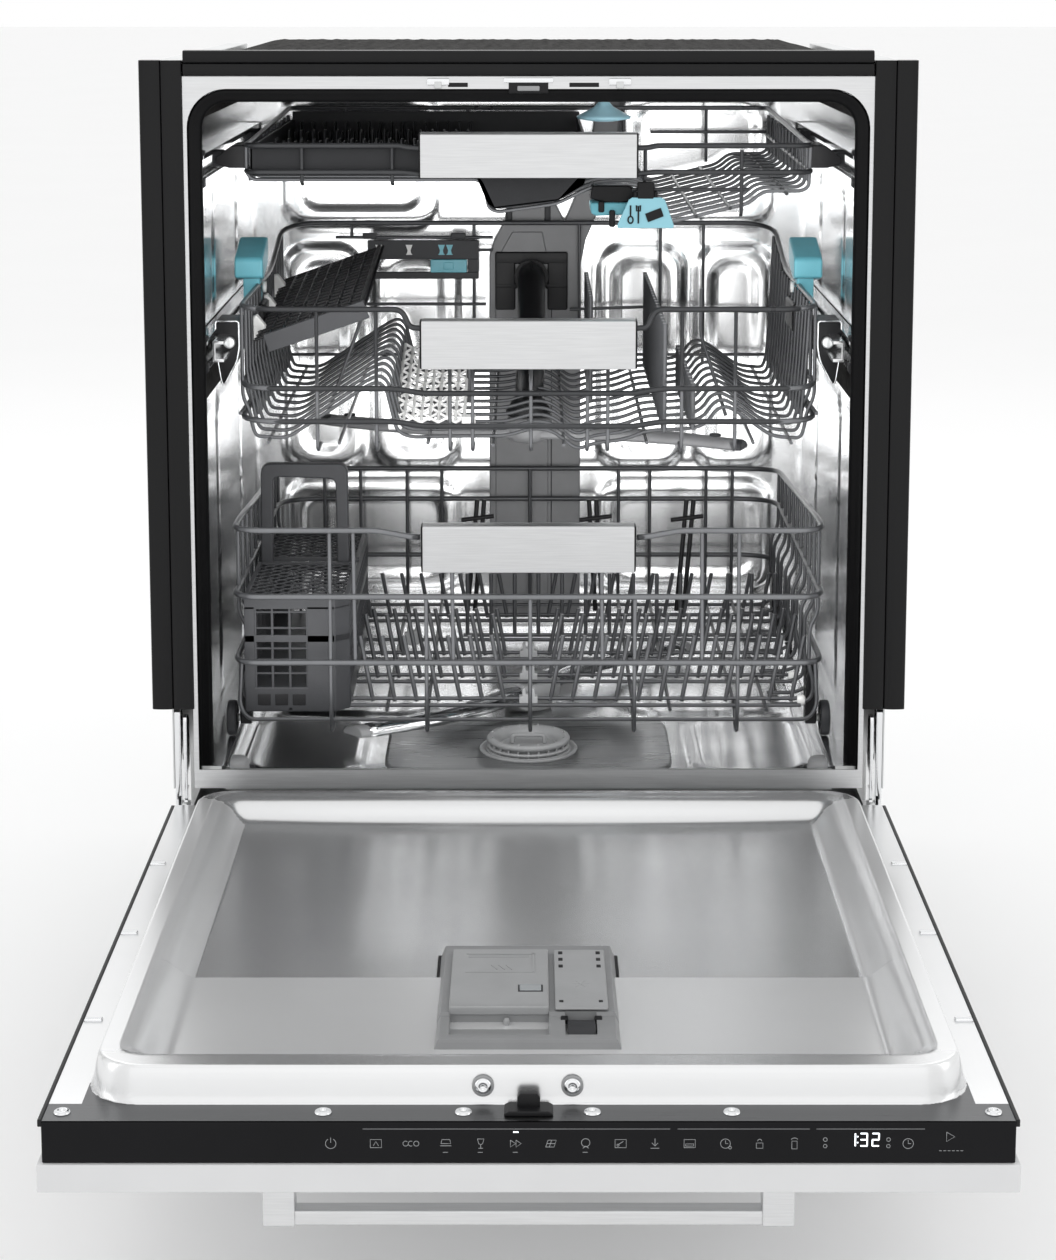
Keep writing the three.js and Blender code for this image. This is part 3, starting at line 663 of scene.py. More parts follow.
def sheet(name, xs, ys, height, body, material):
    """A pressed sheet lying flat: height(x, y) over uneven grid lines."""
    gx, gy = np.meshgrid(xs, ys)
    gz = height(gx, gy)
    n = len(xs)
    verts = [at(gx[j, i], gy[j, i], gz[j, i]) for j in range(len(ys)) for i in range(n)]
    faces = [(j * n + i, j * n + i + 1, (j + 1) * n + i + 1, (j + 1) * n + i)
             for j in range(len(ys) - 1) for i in range(n - 1)]
    return mesh_piece(name, verts, faces, body, material, smooth=True)


half, ny, fy, _ = RING
band = [(half - 50, half - 19, 2.6), (half - 19, half - 9, 1.2), (half - 9, half + 1, 0.8),
        (half + 1, 297, 3)]
xs = steps((-297, -half - 1, 3), (-half - 1, -half + 9, 0.8), (-half + 9, -half + 19, 1.2),
           (-half + 19, -half + 50, 2.6), (-half + 50, half - 50, 7), *band)
ys = steps((PANEL_Y + 1, ny - 1, 4), (ny - 1, ny + 9, 0.8), (ny + 9, ny + 24, 1.4), (ny + 24, ny + 56, 2.6),
    (ny + 56, STEP_Y - 50, 6), (STEP_Y - 50, STEP_Y - 4, 4), (STEP_Y - 4, STEP_Y + 4, 0.5),
    (STEP_Y + 4, fy - 50, 7), (fy - 50, fy - 18, 2.6), (fy - 18, fy - 9, 1.4), (fy - 9, fy + 1, 0.8),
    (fy + 1, -12, 5))
liner = sheet("liner_pressing", xs, ys, liner_z, "door", LINER)
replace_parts(liner, "door_liner")
# Slot 1: the near-black rim steel, painted shade on the liner's flat rim outside the ring.
liner.data.materials.append(RIM_SHADE_STEEL)
# Slot 2: the lighter slope steel, painted highlight on the side slopes, the near floor and the side rims.
liner.data.materials.append(SLOPE_HIGHLIGHT_STEEL)
for p in liner.data.polygons:
    x, y = p.center.x / MM, (p.center.y - FLANGE_Y) / MM
    deep = inside(x, y, *RING)
    side_slope = 4 < deep < 44 and abs(half - abs(x) - deep) < 1
    near_floor = deep > 44 and y < STEP_Y + 2
    side_rim = abs(x) > half + 0.6 and y > PANEL_Y + 26
    p.material_index = 2 if side_slope or near_floor or side_rim else 1 if deep < -0.6 else 0
# The tail strip, reaching in under the tub's sill, and the side skirts carry the rim steel's painted shade.
brick("liner_tail", (-281, -12.2, RIM_Z - 1), (281, 44, RIM_Z), "door", RIM_SHADE_STEEL, 0.4)
for word, side in SIDES:
    brick(f"liner_skirt_{word}", *side_box(side, 296, 297, PANEL_Y + 16, -12, PANEL_Z0 + 1.6, RIM_Z - 0.1),
          "door", RIM_SHADE_STEEL, 0.3)
    brick(f"side_edge_strip_{word}", *side_box(side, 296.4, 299.2, PANEL_Y + 1, -14, RIM_Z - 4, RIM_Z + 0.7),
          "door", DARKER, 0.6)
    for k, y in enumerate((-160, -310, -470)):
        brick(f"rim_clip_{word}_{k}", *side_box(side, 284, 296, y - 3, y + 3, RIM_Z - 0.4, RIM_Z + 1.6),
              "door", CHROME, 0.7)


def screw_head(name, centre, r, body, axis="z", sign=1, material=CHROME, socket=6):
    """A domed screw with a socket let into its crown."""
    h = r * 0.34 * sign
    profile = [(r, 0), (r, h * 0.3), (r * 0.86, h * 0.8), (r * 0.62, h), (r * 0.4, h), (r * 0.36, h * 0.2),
        (0, h * 0.15)]
    return turned(name, centre, profile, body, material, axis=axis, count=socket * 5)


for k, x in enumerate((-286, -126, -40, 39, 124.5, 285)):
    screw_head(f"rim_screw_{k}", (x, PANEL_Y + 13, RIM_Z), 5.4, "door")
for k, x in enumerate((-28.2, 27.0)):
    screw_head(f"latch_screw_{k}", (x, ny + 0.6, 206.5), 5.4, "door", axis="y", sign=-1)
    turned(f"latch_screw_seat_{k}", (x, ny + 1.2, 206.5), [(6.8, 0), (6.8, -0.7), (5.6, -1.0), (5.2, -0.6)],
           "door", MIDGREY, axis="y", count=30)

tongue = prism("latch_tongue", [(-7, 195), (-7, 204), (-5.5, 206.5), (5.5, 206.5), (7, 204), (7, 195)], "y",
               PANEL_Y + 14, PANEL_Y + 20, "door", DARKER, edge=0.8)
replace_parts(tongue, "latch_strike")
prism("latch_foot", [(-15, RIM_Z), (-15, RIM_Z + 1.6), (-12, RIM_Z + 3.2), (12, RIM_Z + 3.2),
    (15, RIM_Z + 1.6), (15, RIM_Z)], "y", PANEL_Y + 7, PANEL_Y + 22, "door", DARKER, edge=0.6)

# Furniture panel, control strip and bar handle.
(wx0, wy0, wz0), (wx1, wy1, wz1) = node_mm("custom_panel")
panel = brick("furniture_panel", (wx0, wy0, wz0), (wx1, wy1, wz1), "door", WHITE, 0.8)
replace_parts(panel, "custom_panel")
(cx0, cy0, cz0), (cx1, cy1, _) = node_mm("control_panel")
strip = brick("control_strip", (cx0 + 0.2, cy0, cz0 - 0.2), (cx1 - 0.2, cy1, RIM_Z - 0.6), "door", BLACK,
    0.9, 3)
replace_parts(strip, "control_panel")
(hx0, hy0, hz0), (hx1, hy1, _) = node_mm("bar_handle")
bar = brick("handle_bar", (hx0 + 19, hy0 + 1, hz0), (hx1 - 19, hy1 - 1, hz0 + 10), "door", BRUSHED, 1.4, 3)
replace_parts(bar, "bar_handle")
for word, x in (("left", hx0), ("right", hx1 - 20)):
    brick(f"handle_post_{word}", (x, hy0, hz0 - 0.4), (x + 20, hy1, wz0), "door", BRUSHED, 1.2, 3)

# Printed marks on the control strip: thin generic line icons, a clock display and divider lines.
FACE = cy0 - 0.18
ICON_Z = 181.0


def on_face(points, x, z, size=1.0):
    return [(x + u * size, FACE, z + v * size) for u, v in points]


def loop(r, n=18, x=0.0, z=0.0, a0=0, a1=360):
    return [(x + r * cos(radians(a0 + (a1 - a0) * k / n)),
             z + r * sin(radians(a0 + (a1 - a0) * k / n))) for k in range(n + 1)]


BOX_MARK = [(-3.4, -2.6), (3.4, -2.6), (3.4, 2.6), (-3.4, 2.6), (-3.4, -2.6)]
ICONS = [
    (-120.5, [loop(3.2, a0=120, a1=420), [(0, 0.6), (0, 3.8)]]),
    (-93, [BOX_MARK, [(-1.6, -1.4), (0, 1.4), (1.6, -1.4)]]),
    (-71.7, [loop(1.6, x=-3.2, a0=50, a1=340), loop(1.6, x=0, a0=60, a1=300), loop(1.6, x=3.3)]),
    (-50.4, [[(-3, 0), (3, 0), (2.4, 2.6), (-2.4, 2.6), (-3, 0)], [(-3.4, -1.4), (3.4, -1.4)]]),
    (-29.2, [[(-2, 3), (2, 3), (1.2, 0), (0, -0.8), (-1.2, 0), (-2, 3)],
             [(0, -0.8), (0, -3)], [(-1.4, -3), (1.4, -3)]]),
    (-7.9, [[(-3.2, 2.2), (0, 0), (-3.2, -2.2), (-3.2, 2.2)],
            [(0.2, 2.2), (3.4, 0), (0.2, -2.2), (0.2, 2.2)]]),
    (13.4, [[(-3, -2.2), (-1.6, 2.2), (3.4, 2.2), (2, -2.2), (-3, -2.2)],
            [(-0.8, -2.2), (0.6, 2.2)], [(-2.3, 0), (2.7, 0)]]),
    (34.7, [loop(2.6, z=0.6), [(-1.6, -3), (0, -1.6), (1.8, -3)]]),
    (56, [BOX_MARK, [(-1.4, -0.6), (1.6, 1.4)], loop(0.7, x=-1.6, z=-1.0, n=8)]),
    (76.9, [[(0, 3.2), (0, -1.4)], [(-1.8, 0.4), (0, -1.6), (1.8, 0.4)], [(-2.6, -3), (2.6, -3)]]),
    (98, [BOX_MARK, [(-2.4, -1.6), (2.4, -1.6), (2.4, -0.2), (-2.4, -0.2), (-2.4, -1.6)]]),
    (119.8, [loop(3.0), [(0, 2), (0, 0), (1.6, 0)], loop(0.9, x=2.8, z=-2.6, n=8)]),
    (140.6, [[(-2, -3), (-2, 0.4), (2, 0.4), (2, -3), (-2, -3)], loop(1.2, z=1.6, a0=0, a1=180)]),
    (161.8, [[(-1.6, -3.4), (-1.6, 1.6), (1.6, 1.6), (1.6, -3.4), (-1.6, -3.4)],
             loop(2.6, z=1.0, a0=40, a1=140)]),
    (231, [loop(3.2), [(0, 2.2), (0, 0), (1.8, 0)]]),
    (256.5, [[(-2.2, 7.4), (2.8, 4.4), (-2.2, 1.4), (-2.2, 7.4)]]),
]
marks = [on_face(path, x, ICON_Z) for x, paths in ICONS for path in paths]
for k in range(6):
    marks.append([(250 + 2.6 * k, FACE, ICON_Z - 4.6), (251.6 + 2.6 * k, FACE, ICON_Z - 4.6)])
for x in (-50.4, -29.2, -7.9, 34.7):
    marks.append([(x - 1.8, FACE, ICON_Z - 5.6), (x + 1.2, FACE, ICON_Z - 5.6)])
for x in (180.5, 219):
    marks += [on_face(loop(1.2, n=10), x, ICON_Z + 2.6), on_face(loop(1.2, n=6), x, ICON_Z - 1.6)]
wires("panel_icons", marks, 0.16, "door", PRINT, res=1)
wires("panel_lines", [[(a, FACE, 190.4), (b, FACE, 190.4)] for a, b in ((-101, 86), (90.5, 171), (175, 241))],
      0.12, "door", PRINT, res=1)

SEGMENTS = {"a": ((-1, 2), (1, 2)), "b": ((1, 2), (1, 0)), "c": ((1, 0), (1, -2)), "d": ((-1, -2), (1, -2)),
            "e": ((-1, 0), (-1, -2)), "f": ((-1, 2), (-1, 0)), "g": ((-1, 0), (1, 0))}
digits = [(196.8, "bc"), (204.0, "abgcd"), (211.2, "abged")]
glow = [on_face([(u * 2.0, v * 2.0) for u, v in SEGMENTS[s]], x, 183.5) for x, word in digits for s in word]
glow += [[(200.2, FACE, 185.2), (200.2, FACE, 185.8)], [(200.2, FACE, 181.4), (200.2, FACE, 182.0)]]
wires("display_digits", glow, 0.42, "door", GLOW, res=1)
wires("program_light", [[(-9.4, FACE, 188.4), (-6.2, FACE, 188.4)]], 0.35, "door", GLOW, res=1)

# ------------------------------------------------------------------ dispenser
(dx0, dy0, _), (dx1, dy1, dz1) = node_mm("dispenser_body")
(lx0, ly0, lz0), (lx1, ly1, lz1) = node_mm("detergent_lid")
(rx0, ry0, _), (rx1, ry1, _) = node_mm("rinse_aid_flap")
LIP_Z = 206.2


def dispenser_z(x, y):
    d = np.minimum(np.minimum(x - dx0, dx1 - x), np.minimum(y - dy0, dy1 - y))
    top = np.where(y < ly0, LIP_Z, dz1)
    top = LIP_Z + (dz1 - LIP_Z) * ease((y - ly0 + 1.5) / 1.5)
    z = 198.0 + (top - 198.0) * ease(d / 5.0)
    pit = (x > lx0 + 4.5) & (x < lx1 - 4.5) & (y > ly0 + 4) & (y < ly1 - 5)
    z = np.where(pit, 184.5, z)
    well = (x > rx0 + 3) & (x < rx1 - 3) & (y > ry0 + 4) & (y < ry1 - 5)
    z = np.where(well, dz1 - 6, z)
    slot = (x > lx0 + 0.4) & (x < lx1 - 0.4) & (y < ly0 + 1.5) & (y > ly0 - 31)
    ramp = 200.2 + 4.6 * np.clip((ly0 - 6 - y) / 24, 0, 1)
    z = np.where(slot, np.where(y > ly0 - 6.5, 197.5, ramp), z)
    drum_bay = (x > 24.6) & (x < 44.6) & (y < ry0 + 0.5) & (y > ry0 - 31)
    return np.where(drum_bay, 196.5, z)


cup = sheet("dispenser_shell", steps((dx0, dx1, 0.8)), steps((dy0, dy1, 1.1)), dispenser_z, "door", SHELL)
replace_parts(cup, "dispenser_body")
for p in cup.data.polygons:
    p.use_smooth = False
brick("dispenser_gasket", (dx0 - 1.2, dy0 - 1.4, 197.6), (dx1 + 1.2, dy1 + 1.2, 199.4), "door", DARKER, 0.4)

lid = many_bricks("lid_plate", [((lx0, ly0 + 2, lz0 + 0.1), (lx1, ly1, lz1)),
    ((lx0, ly0, LIP_Z + 0.3), (lx1, ly0 + 4, lz1))], "detergent_lid", LIGHT, 0.9)
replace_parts(lid, "detergent_lid")
mid = (lx0 + lx1) / 2
many_bricks("lid_groove", [((lx0 + 11, -402, lz1 - 0.4), (lx1 - 13, -396.5, lz1 + 0.12))], "detergent_lid",
    MIDGREY, 0)
many_bricks("lid_recess_rim", [((lx0 + 9.5, -395.6, lz1), (lx1 - 9, -394, lz1 + 0.5)),
    ((lx1 - 11, -428, lz1), (lx1 - 9.4, -394, lz1 + 0.5)), ((lx0 + 9.5, -429, lz1),
    (lx1 - 9, -427.8, lz1 + 0.3))], "detergent_lid", LIGHT, 0.2)
many_bricks("lid_button", [((lx1 - 19.5, -462, lz1 - 0.2), (lx1 - 5, -452, lz1 + 1.2))], "detergent_lid",
    CLEAR, 0.5)
# A dark slab under the clear button, showing round it and through it: painted shade in the button's gap.
many_bricks("lid_button_gap_shade", [((lx1 - 20.6, -463, lz1 - 0.3), (lx1 - 3.9, -451, lz1 + 0.15))],
    "detergent_lid", DARK, 0)
chevrons = [[(mid - 6 + 5 * k, -416, lz1 + 0.1), (mid - 2 + 5 * k, -424, lz1 + 0.1)] for k in range(3)]
wires("lid_marks", chevrons, 0.3, "detergent_lid", MIDGREY, res=1)
turned("lid_slot_pin", (mid + 5, ly0 - 2.6, 198), [(2.0, 0), (2.0, 6), (1.4, 7.4), (0, 7.8)], "door", LIGHT,
    count=16)
many_bricks("dispenser_slot_shade", [((lx0 + 0.8, ly0 - 6.2, 197.6), (lx1 - 0.8, ly0 + 1.4, 198.4))],
    "door", DARKER, 0)

flap = many_bricks("flap_plate", [((rx0, ry0, lz0 + 0.1), (rx1, ry1, lz1 - 0.5))], "rinse_flap", LIGHT, 0.8)
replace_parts(flap, "rinse_aid_flap")
# Dark patches set into the flap: painted shade in its slots.
dots = [((x - 1.5, y - 2.6, lz1 - 0.8), (x + 1.5, y + 2.6, lz1 - 0.3)) for x in (rx0 + 4.5, rx1 - 4.5)
        for y in (-391.5, -403.6, -416)]
dots += [((x - 1.4, -480, lz1 - 0.8), (x + 1.4, -476.4, lz1 - 0.3)) for x in (rx0 + 4.2, rx1 - 4.6)]
many_bricks("flap_slot_shade", dots, "rinse_flap", DARKER, 0.2)
star_x, star_y, ray = (rx0 + rx1) / 2, -448, 6
rays = [[(star_x + end * cos(a), star_y + end * sin(a), lz1 - 0.5) for end in (ray, -ray)]
        for a in (0, pi / 3, 2 * pi / 3)]
wires("flap_star", rays, 0.3, "rinse_flap", LIGHT, res=1)
cap = [(12, 0), (12, 2.4), (10.6, 3.2), (4, 3.2), (3.4, 4.4), (0, 4.4)]
turned("rinse_filler_cap", (star_x, -438, dz1 - 6), cap, "door", PALEBLUE, count=40)
half_drum = [(ry0 - 15 + 15.4 * cos(a), 198 + 9.6 * sin(a)) for a in np.linspace(0, pi, 15)]
prism("rinse_latch_drum", half_drum, "x", 25.6, 43.6, "door", DARK, edge=0.5, smooth=True)
many_bricks("rinse_latch_ears", [((21, ry0 - 7, 203), (26, ry0 - 0.6, 206.8)),
    ((43.4, ry0 - 7, 203), (48.4, ry0 - 0.6, 206.8))], "door", DARKER, 0.6)

# ------------------------------------------------------------------ wire racks
RACK_Y0, RACK_Y1 = 42.0, 463.0


def both(paths):
    """The paths and their mirror images across the middle."""
    return paths + [[(-x, y, z) for x, y, z in path] for path in paths]


def ring_path(half, z_front, z_back, r=44.0, y0=RACK_Y0, y1=RACK_Y1, lift_from=None):
    """A closed rail round a rack, with its rear at another height."""
    start = lift_from if lift_from is not None else y0 + r
    side = [(half, y0, z_front), (half, start, z_front), (half, y1, z_back)]
    pts = [(0, y0, z_front)] + side + [(0, y1, z_back)] + [(-x, y, z) for x, y, z in reversed(side)]
    return rounded(pts, r, 6, cyclic=True), True


def grip_rail(half, z_front, z_dip, z_back, x_dip, x_end, lift_from, r=44.0):
    """A top rail open at the front, where both ends dip into the grip."""
    side = [(x_end, RACK_Y0 - 6, z_dip), (x_end + 9, RACK_Y0 - 3, z_dip), (x_dip, RACK_Y0, z_front),
            (half, RACK_Y0, z_front), (half, lift_from, z_front), (half, RACK_Y1, z_back)]
    pts = side + [(-x, y, z) for x, y, z in reversed(side)]
    out = [Vector(pts[0])]
    for i in range(1, len(pts) - 1):
        near = r if abs(abs(pts[i][0]) - half) < 1 else 7
        out += rounded(pts[i - 1:i + 2], near, 6)[1:-1]
    return out + [Vector(pts[-1])]


def grip(name, z0, z1, body):
    """A bright extruded grip with a folded top lip and end caps."""
    outline = [(24, z0), (24, z1 - 1.5), (25.5, z1), (39.5, z1), (39.5, z1 - 2.2), (27.4, z1 - 2.2),
        (26.6, z1 - 4), (26.6, z0 + 3), (32, z0 + 1.5), (32, z0)]
    obj = prism(f"{name}_face", outline, "x", -89, 89, body, BRUSHED, edge=0.5)
    for word, x in (("left", -90.4), ("right", 88.6)):
        brick(f"{name}_cap_{word}", (x, 24.4, z0 + 0.4), (x + 1.8, 39, z1 - 0.4), body, DARKER, 0.5)
    return obj


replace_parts(grip("lower_grip", 386, 426, "lower_rack"), "lower_rack_handle")

LOWER = 250.0
rails = [grip_rail(LOWER, 418.5, 414, 392, 128, 92, 90), ring_path(LOWER, 361, 361),
    ring_path(LOWER, 303.5, 303.5)]
wires("lower_rack_rails", rails, 2.5, "lower_rack", WIRE, res=3)

paths = both([rounded([(246, 58, 303), (248, 54, 262), (240, 46, 252.5), (0, 46, 252.5)], 9, 4)])
for x, top in ((-168.7, 417), (178.6, 417), (-87, 361), (90.5, 361), (1.5, 361)):
    paths.append(rounded([(x, 44, top), (x, 44, 258), (x, 47, 241), (x, 62, 241), (x, 78, 257),
        (x, RACK_Y1 - 4, 257), (x, RACK_Y1 - 2, 270), (x, RACK_Y1 - 2, 391)], 7, 4))
for x, top, low in ((-148.6, 417, 305), (147, 417, 305), (-65, 388, 305), (62, 388, 305)):
    paths.append([(x, 43, top), (x + 1, 44, low)])
for x in (-205, -122, 122, 205):
    paths.append(rounded([(x, 60, 257), (x, RACK_Y1 - 4, 257), (x, RACK_Y1 - 2, 270),
        (x, RACK_Y1 - 2, 391)], 7, 4))


def lower_top(y):
    """The lower rack's top rail: level in front, falling to the rear."""
    return 418.5 if y < 90 else 418.5 - 26.5 * (y - 90) / (RACK_Y1 - 90)


for k, y in enumerate(np.linspace(78, 442, 11)):
    jog = 4.0 if k % 2 else 0.0
    paths += both([rounded([(LOWER, y, lower_top(y)), (LOWER, y, 338), (LOWER - 7, y + jog, 326),
        (LOWER - 7, y + jog, 290), (LOWER - 3, y, 278), (LOWER - 4, y, 262), (LOWER - 16, y, 257),
        (LOWER - 40, y, 257)], 8, 3)])
for y, z in ((74, 257), (80, 261.5), (151, 257), (157, 261.5), (229, 257), (235, 261.5), (300, 257),
        (374, 257), (380, 261.5), (440, 257)):
    paths.append([(-236, y, z), (236, y, z)])
wires("lower_rack_wires", paths, 1.75, "lower_rack", WIRE)
upright = []
for y, tall in ((80, 58), (157, 58), (235, 44), (380, 44)):
    for side, start, count in ((-1, -21, 8), (1, 19, 12)):
        for k in range(count):
            x = start + side * 19 * k
            upright.append([(x, y, 259), (x + side * tall * 0.19, y + 2, 259 + tall)])
tines = wires("lower_rack_tines", upright, 2.0, "lower_rack", WIRE)
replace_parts(tines, "lower_rack")

comb = [[(-62, 302.5, 261), (242, 302.5, 261)]]
comb += [[(x, 302.5, 261), (x, 302.5, 321)] for x in np.arange(-58, 240, 22.5)]
fold = wires("folding_tine_row", comb, 1.9, "lower_tines", WIRE)
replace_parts(fold, "lower_tines")

for k, (x, y) in enumerate(((0, 80), (0, 157), (0, 235), (233, 80), (233, 157), (-110, 301))):
    if abs(x) > 200:
        turned(f"tine_bearing_{k}", (x, y, 260), [(0, 0), (4, 0.5), (4.6, 2), (4.6, 6), (3, 7.5), (0, 8)],
               "lower_rack", IVORY, axis="x", count=20)
    else:
        prism(f"tine_clip_{k}", [(-8, 254), (-8, 264), (-5.5, 264), (-5.5, 270), (-3, 272), (-2, 266),
            (2, 266), (3, 272), (5.5, 270), (5.5, 264), (8, 264), (8, 254), (3, 252), (-3, 252)], "y",
            y - 4, y + 4, "lower_rack", MIDGREY, edge=0.6).location.x += x * MM

# Posts that the cups or long glasses lean on, at the rear of the lower rack.
for k, (x, lean) in enumerate(((-60, 6), (66, -4), (146, 6))):
    post = rounded([(x, 395, 262), (x + lean, 400, 330), (x + lean * 1.6, 404, 372)], 14, 4)
    wires(f"rear_support_{k}", [post, [(p[0] + 7, p[1], p[2]) for p in post],
        [(x - 12 + lean, 401, 352), (x + 20 + lean, 401, 356)]], 2.3, "lower_rack", DARKER)

# Wheels on dark brackets.
for place in ("front", "rear"):
    for word, side in SIDES:
        node = f"wheel_{place}_{word}"
        (ax0, ay0, az0), (ax1, ay1, az1) = node_mm(node)
        wy, wz, wr = (ay0 + ay1) / 2, (az0 + az1) / 2, (ay1 - ay0) / 2
        half_w = (ax1 - ax0) / 2
        face = [(0, -half_w), (4, -half_w), (4.5, -half_w + 2), (wr - 5, -half_w + 2), (wr - 4, -half_w),
                (wr - 1, -half_w), (wr, -half_w + 1.2)]
        profile = face + [(r, -h) for r, h in reversed(face)]
        tyre = turned(f"{node}_turned", ((ax0 + ax1) / 2, wy, wz), profile, node, DARK, axis="x", count=40)
        spokes = []
        for k in range(6):
            a = pi * k / 3
            c, s = cos(a), sin(a)
            spokes.append([((ax0 + ax1) / 2, wy + r * c, wz + r * s) for r in (3, wr - 4)])
        wires(f"{node}_spokes", spokes, 1.5, node, DARKER)
        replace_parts(tyre, node)
        prism(f"{node}_bracket", [(wy - 15, 284), (wy - 9, 244), (wy - 7, 236), (wy + 7, 236), (wy + 9, 244),
                                  (wy + 13, 284), (wy + 6, 290), (wy - 8, 290)], "x",
              *span(side, 241.5, 251.5), "lower_rack", DARKER, edge=1.2)
        turned(f"{node}_axle", (side * 251.4, wy, wz), [(0, 0), (3.4, 0), (3.4, side * 3), (0, side * 3.2)],
               "lower_rack", ZINC, axis="x", count=16)

# Cutlery basket: a slatted box with two mesh lids and a tall loop to carry it by.
(bx0, by0, bz0), (bx1, by1, bz1) = node_mm("cutlery_basket")
CUT = 12.0
plan = [(bx0, by0), (bx1 - CUT, by0), (bx1, by0 + CUT), (bx1, by1), (bx0, by1)]
base = prism("basket_base", plan, "z", bz0, bz0 + 22, "lower_rack", DARK, edge=1.4)
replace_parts(base, "cutlery_basket")


def frame_ring(name, outline, thick, z0, z1, body, material):
    """A hollow band: the outline in plan with walls of the given thickness."""
    cx = sum(p[0] for p in outline) / len(outline)
    cy = sum(p[1] for p in outline) / len(outline)
    inner = [(x + thick * (1 if x < cx else -1), y + thick * (1 if y < cy else -1)) for x, y in outline]
    rings = [[at(x, y, z) for x, y in path] for path, z in ((outline, z0), (outline, z1), (inner, z1),
        (inner, z0))]
    rings.append(rings[0])
    obj = loft(name, rings, body, material, caps=False, smooth=False)
    return soften(obj, 0.6)


frame_ring("basket_rim", plan, 3.2, bz1 - 9, bz1, "lower_rack", DARK)
frame_ring("basket_band", plan, 2.6, bz0 + 62, bz0 + 68, "lower_rack", DARK)


def upright_slat(x0, x1, y0, y1):
    return (x0, y0, bz0 + 20), (x1, y1, bz1 - 7)


slats = []
for x in (bx0 + 9.5, bx0 + 24, bx0 + 39, bx0 + 54):
    slats.append(((x - 1.2, by0 + 0.5, bz0 + 20), (x + 1.2, by0 + 3, bz1 - 8)))
for z in (bz0 + 34, bz0 + 46, bz0 + 56, bz0 + 74, bz0 + 88):
    slats.append(((bx0 + 9, by0 + 0.6, z - 1), (bx0 + 54, by0 + 2.8, z + 1)))
slats += [upright_slat(bx0, bx0 + 9, by0, by0 + 3), upright_slat(bx0 + 54, bx1 - CUT, by0, by0 + 3),
          upright_slat(bx0, bx0 + 16, by1 - 3, by1), upright_slat(bx1 - 16, bx1, by1 - 3, by1)]
for y in np.arange(by0 + 18, by1 - 6, 12.0):
    slats += [upright_slat(bx1 - 2.8, bx1 - 0.3, y, y + 3.4), upright_slat(bx0 + 0.3, bx0 + 2.8, y, y + 3.4)]
for x in np.arange(bx0 + 24, bx1 - 18, 12.0):
    slats.append(upright_slat(x, x + 2.6, by1 - 2.6, by1 - 0.2))
for z in (bz0 + 40, bz0 + 82):
    slats.append(((bx1 - 2.4, by0 + 14, z), (bx1 - 0.6, by1 - 2, z + 3)))
many_bricks("basket_slats", slats, "lower_rack", DARK)
corner = [(bx1 - CUT, by0), (bx1, by0 + CUT), (bx1 - 3, by0 + CUT + 2), (bx1 - CUT - 2, by0 + 3)]
prism("basket_corner_post", corner, "z", bz0 + 20, bz1 - 7, "lower_rack", DARK, edge=0.6)
many_bricks("basket_foot_pads", [((bx0 + 11 + 15 * k, by0 - 0.7, bz0 + 6),
    (bx0 + 22 + 15 * k, by0 + 0.6, bz0 + 16)) for k in range(3)], "lower_rack", DARKER)

outer_loop = rounded([(bx0 + 2, 0, bz1 - 4), (bx0 + 3, 0, 448), (bx1 - 9, 0, 448), (bx1 - 8, 0, bz1 - 4)],
    9, 5)
inner_loop = rounded([(bx1 - 19, 0, bz1 - 4), (bx1 - 20, 0, 434), (bx0 + 14, 0, 436),
    (bx0 + 13, 0, bz1 - 4)], 6, 5)
prism("basket_loop", [(p[0], p[2]) for p in outer_loop + inner_loop], "y", 189.5, 200.5, "lower_rack", DARK,
    edge=1.6)

for place in ("front", "rear"):
    node = f"basket_lid_{place}"
    (lx0, ly0, lz0), (lx1, ly1, lz1) = node_mm(node)
    paths, row = [], 0
    y = ly0 + 5
    while y < ly1 - 8:
        zig = []
        x, up = lx0 + 3, row % 2 == 0
        while x <= lx1 - 2:
            zig += [(x, y + (6.2 if up else 0.4), lz1 - 0.6), (min(x + 3.5, lx1 - 2),
                y + (6.2 if up else 0.4), lz1 - 0.6)]
            x, up = x + 7.5, not up
        paths.append(zig)
        y, row = y + 6.8, row + 1
    wires(f"{node}_mesh", paths, 0.9, node, DARK, res=1)
    rim_plan = [(lx0, ly0), (lx1, ly0), (lx1, ly1), (lx0, ly1)]
    ring_obj = frame_ring(f"{node}_frame", rim_plan, 4.0, lz0 - 0.2, lz1 + 0.8, node, DARK)
    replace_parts(ring_obj, node)

# ------------------------------------------------------------------ middle rack
MIDDLE = 243.0
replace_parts(grip("middle_grip", 559, 600, "middle_rack"), "middle_rack_handle")


def rail_z(y, front=607.0, back=639.5, bend=330.0):
    """The middle rack's top rail: level in front, climbing at the rear."""
    return front if y < bend else front + (back - front) * (y - bend) / (RACK_Y1 - bend)


rails = [grip_rail(MIDDLE, 607, 592, 639.5, 106, 90, 330, r=40)]
for z in (540, 512):
    front = [(0, RACK_Y0, z - 4), (88, RACK_Y0, z - 4), (112, RACK_Y0, z), (MIDDLE, RACK_Y0, z)]
    side = [(MIDDLE, RACK_Y1 - 40, z)] if z > 520 else [(MIDDLE - 2, RACK_Y1, z)]
    pts = front[1:] + side
    path = [Vector((-88, RACK_Y0, z - 4)), Vector(front[1])]
    for i in range(1, len(pts) - 1):
        path += rounded(pts[i - 1:i + 2], 40 if i > 1 else 9, 6)[1:-1]
    path.append(Vector(pts[-1]))
    rails.append(path)
    rails.append(mirrored(path[1:]))
wires("middle_rack_rails", rails, 2.4, "middle_rack", WIRE, res=3)


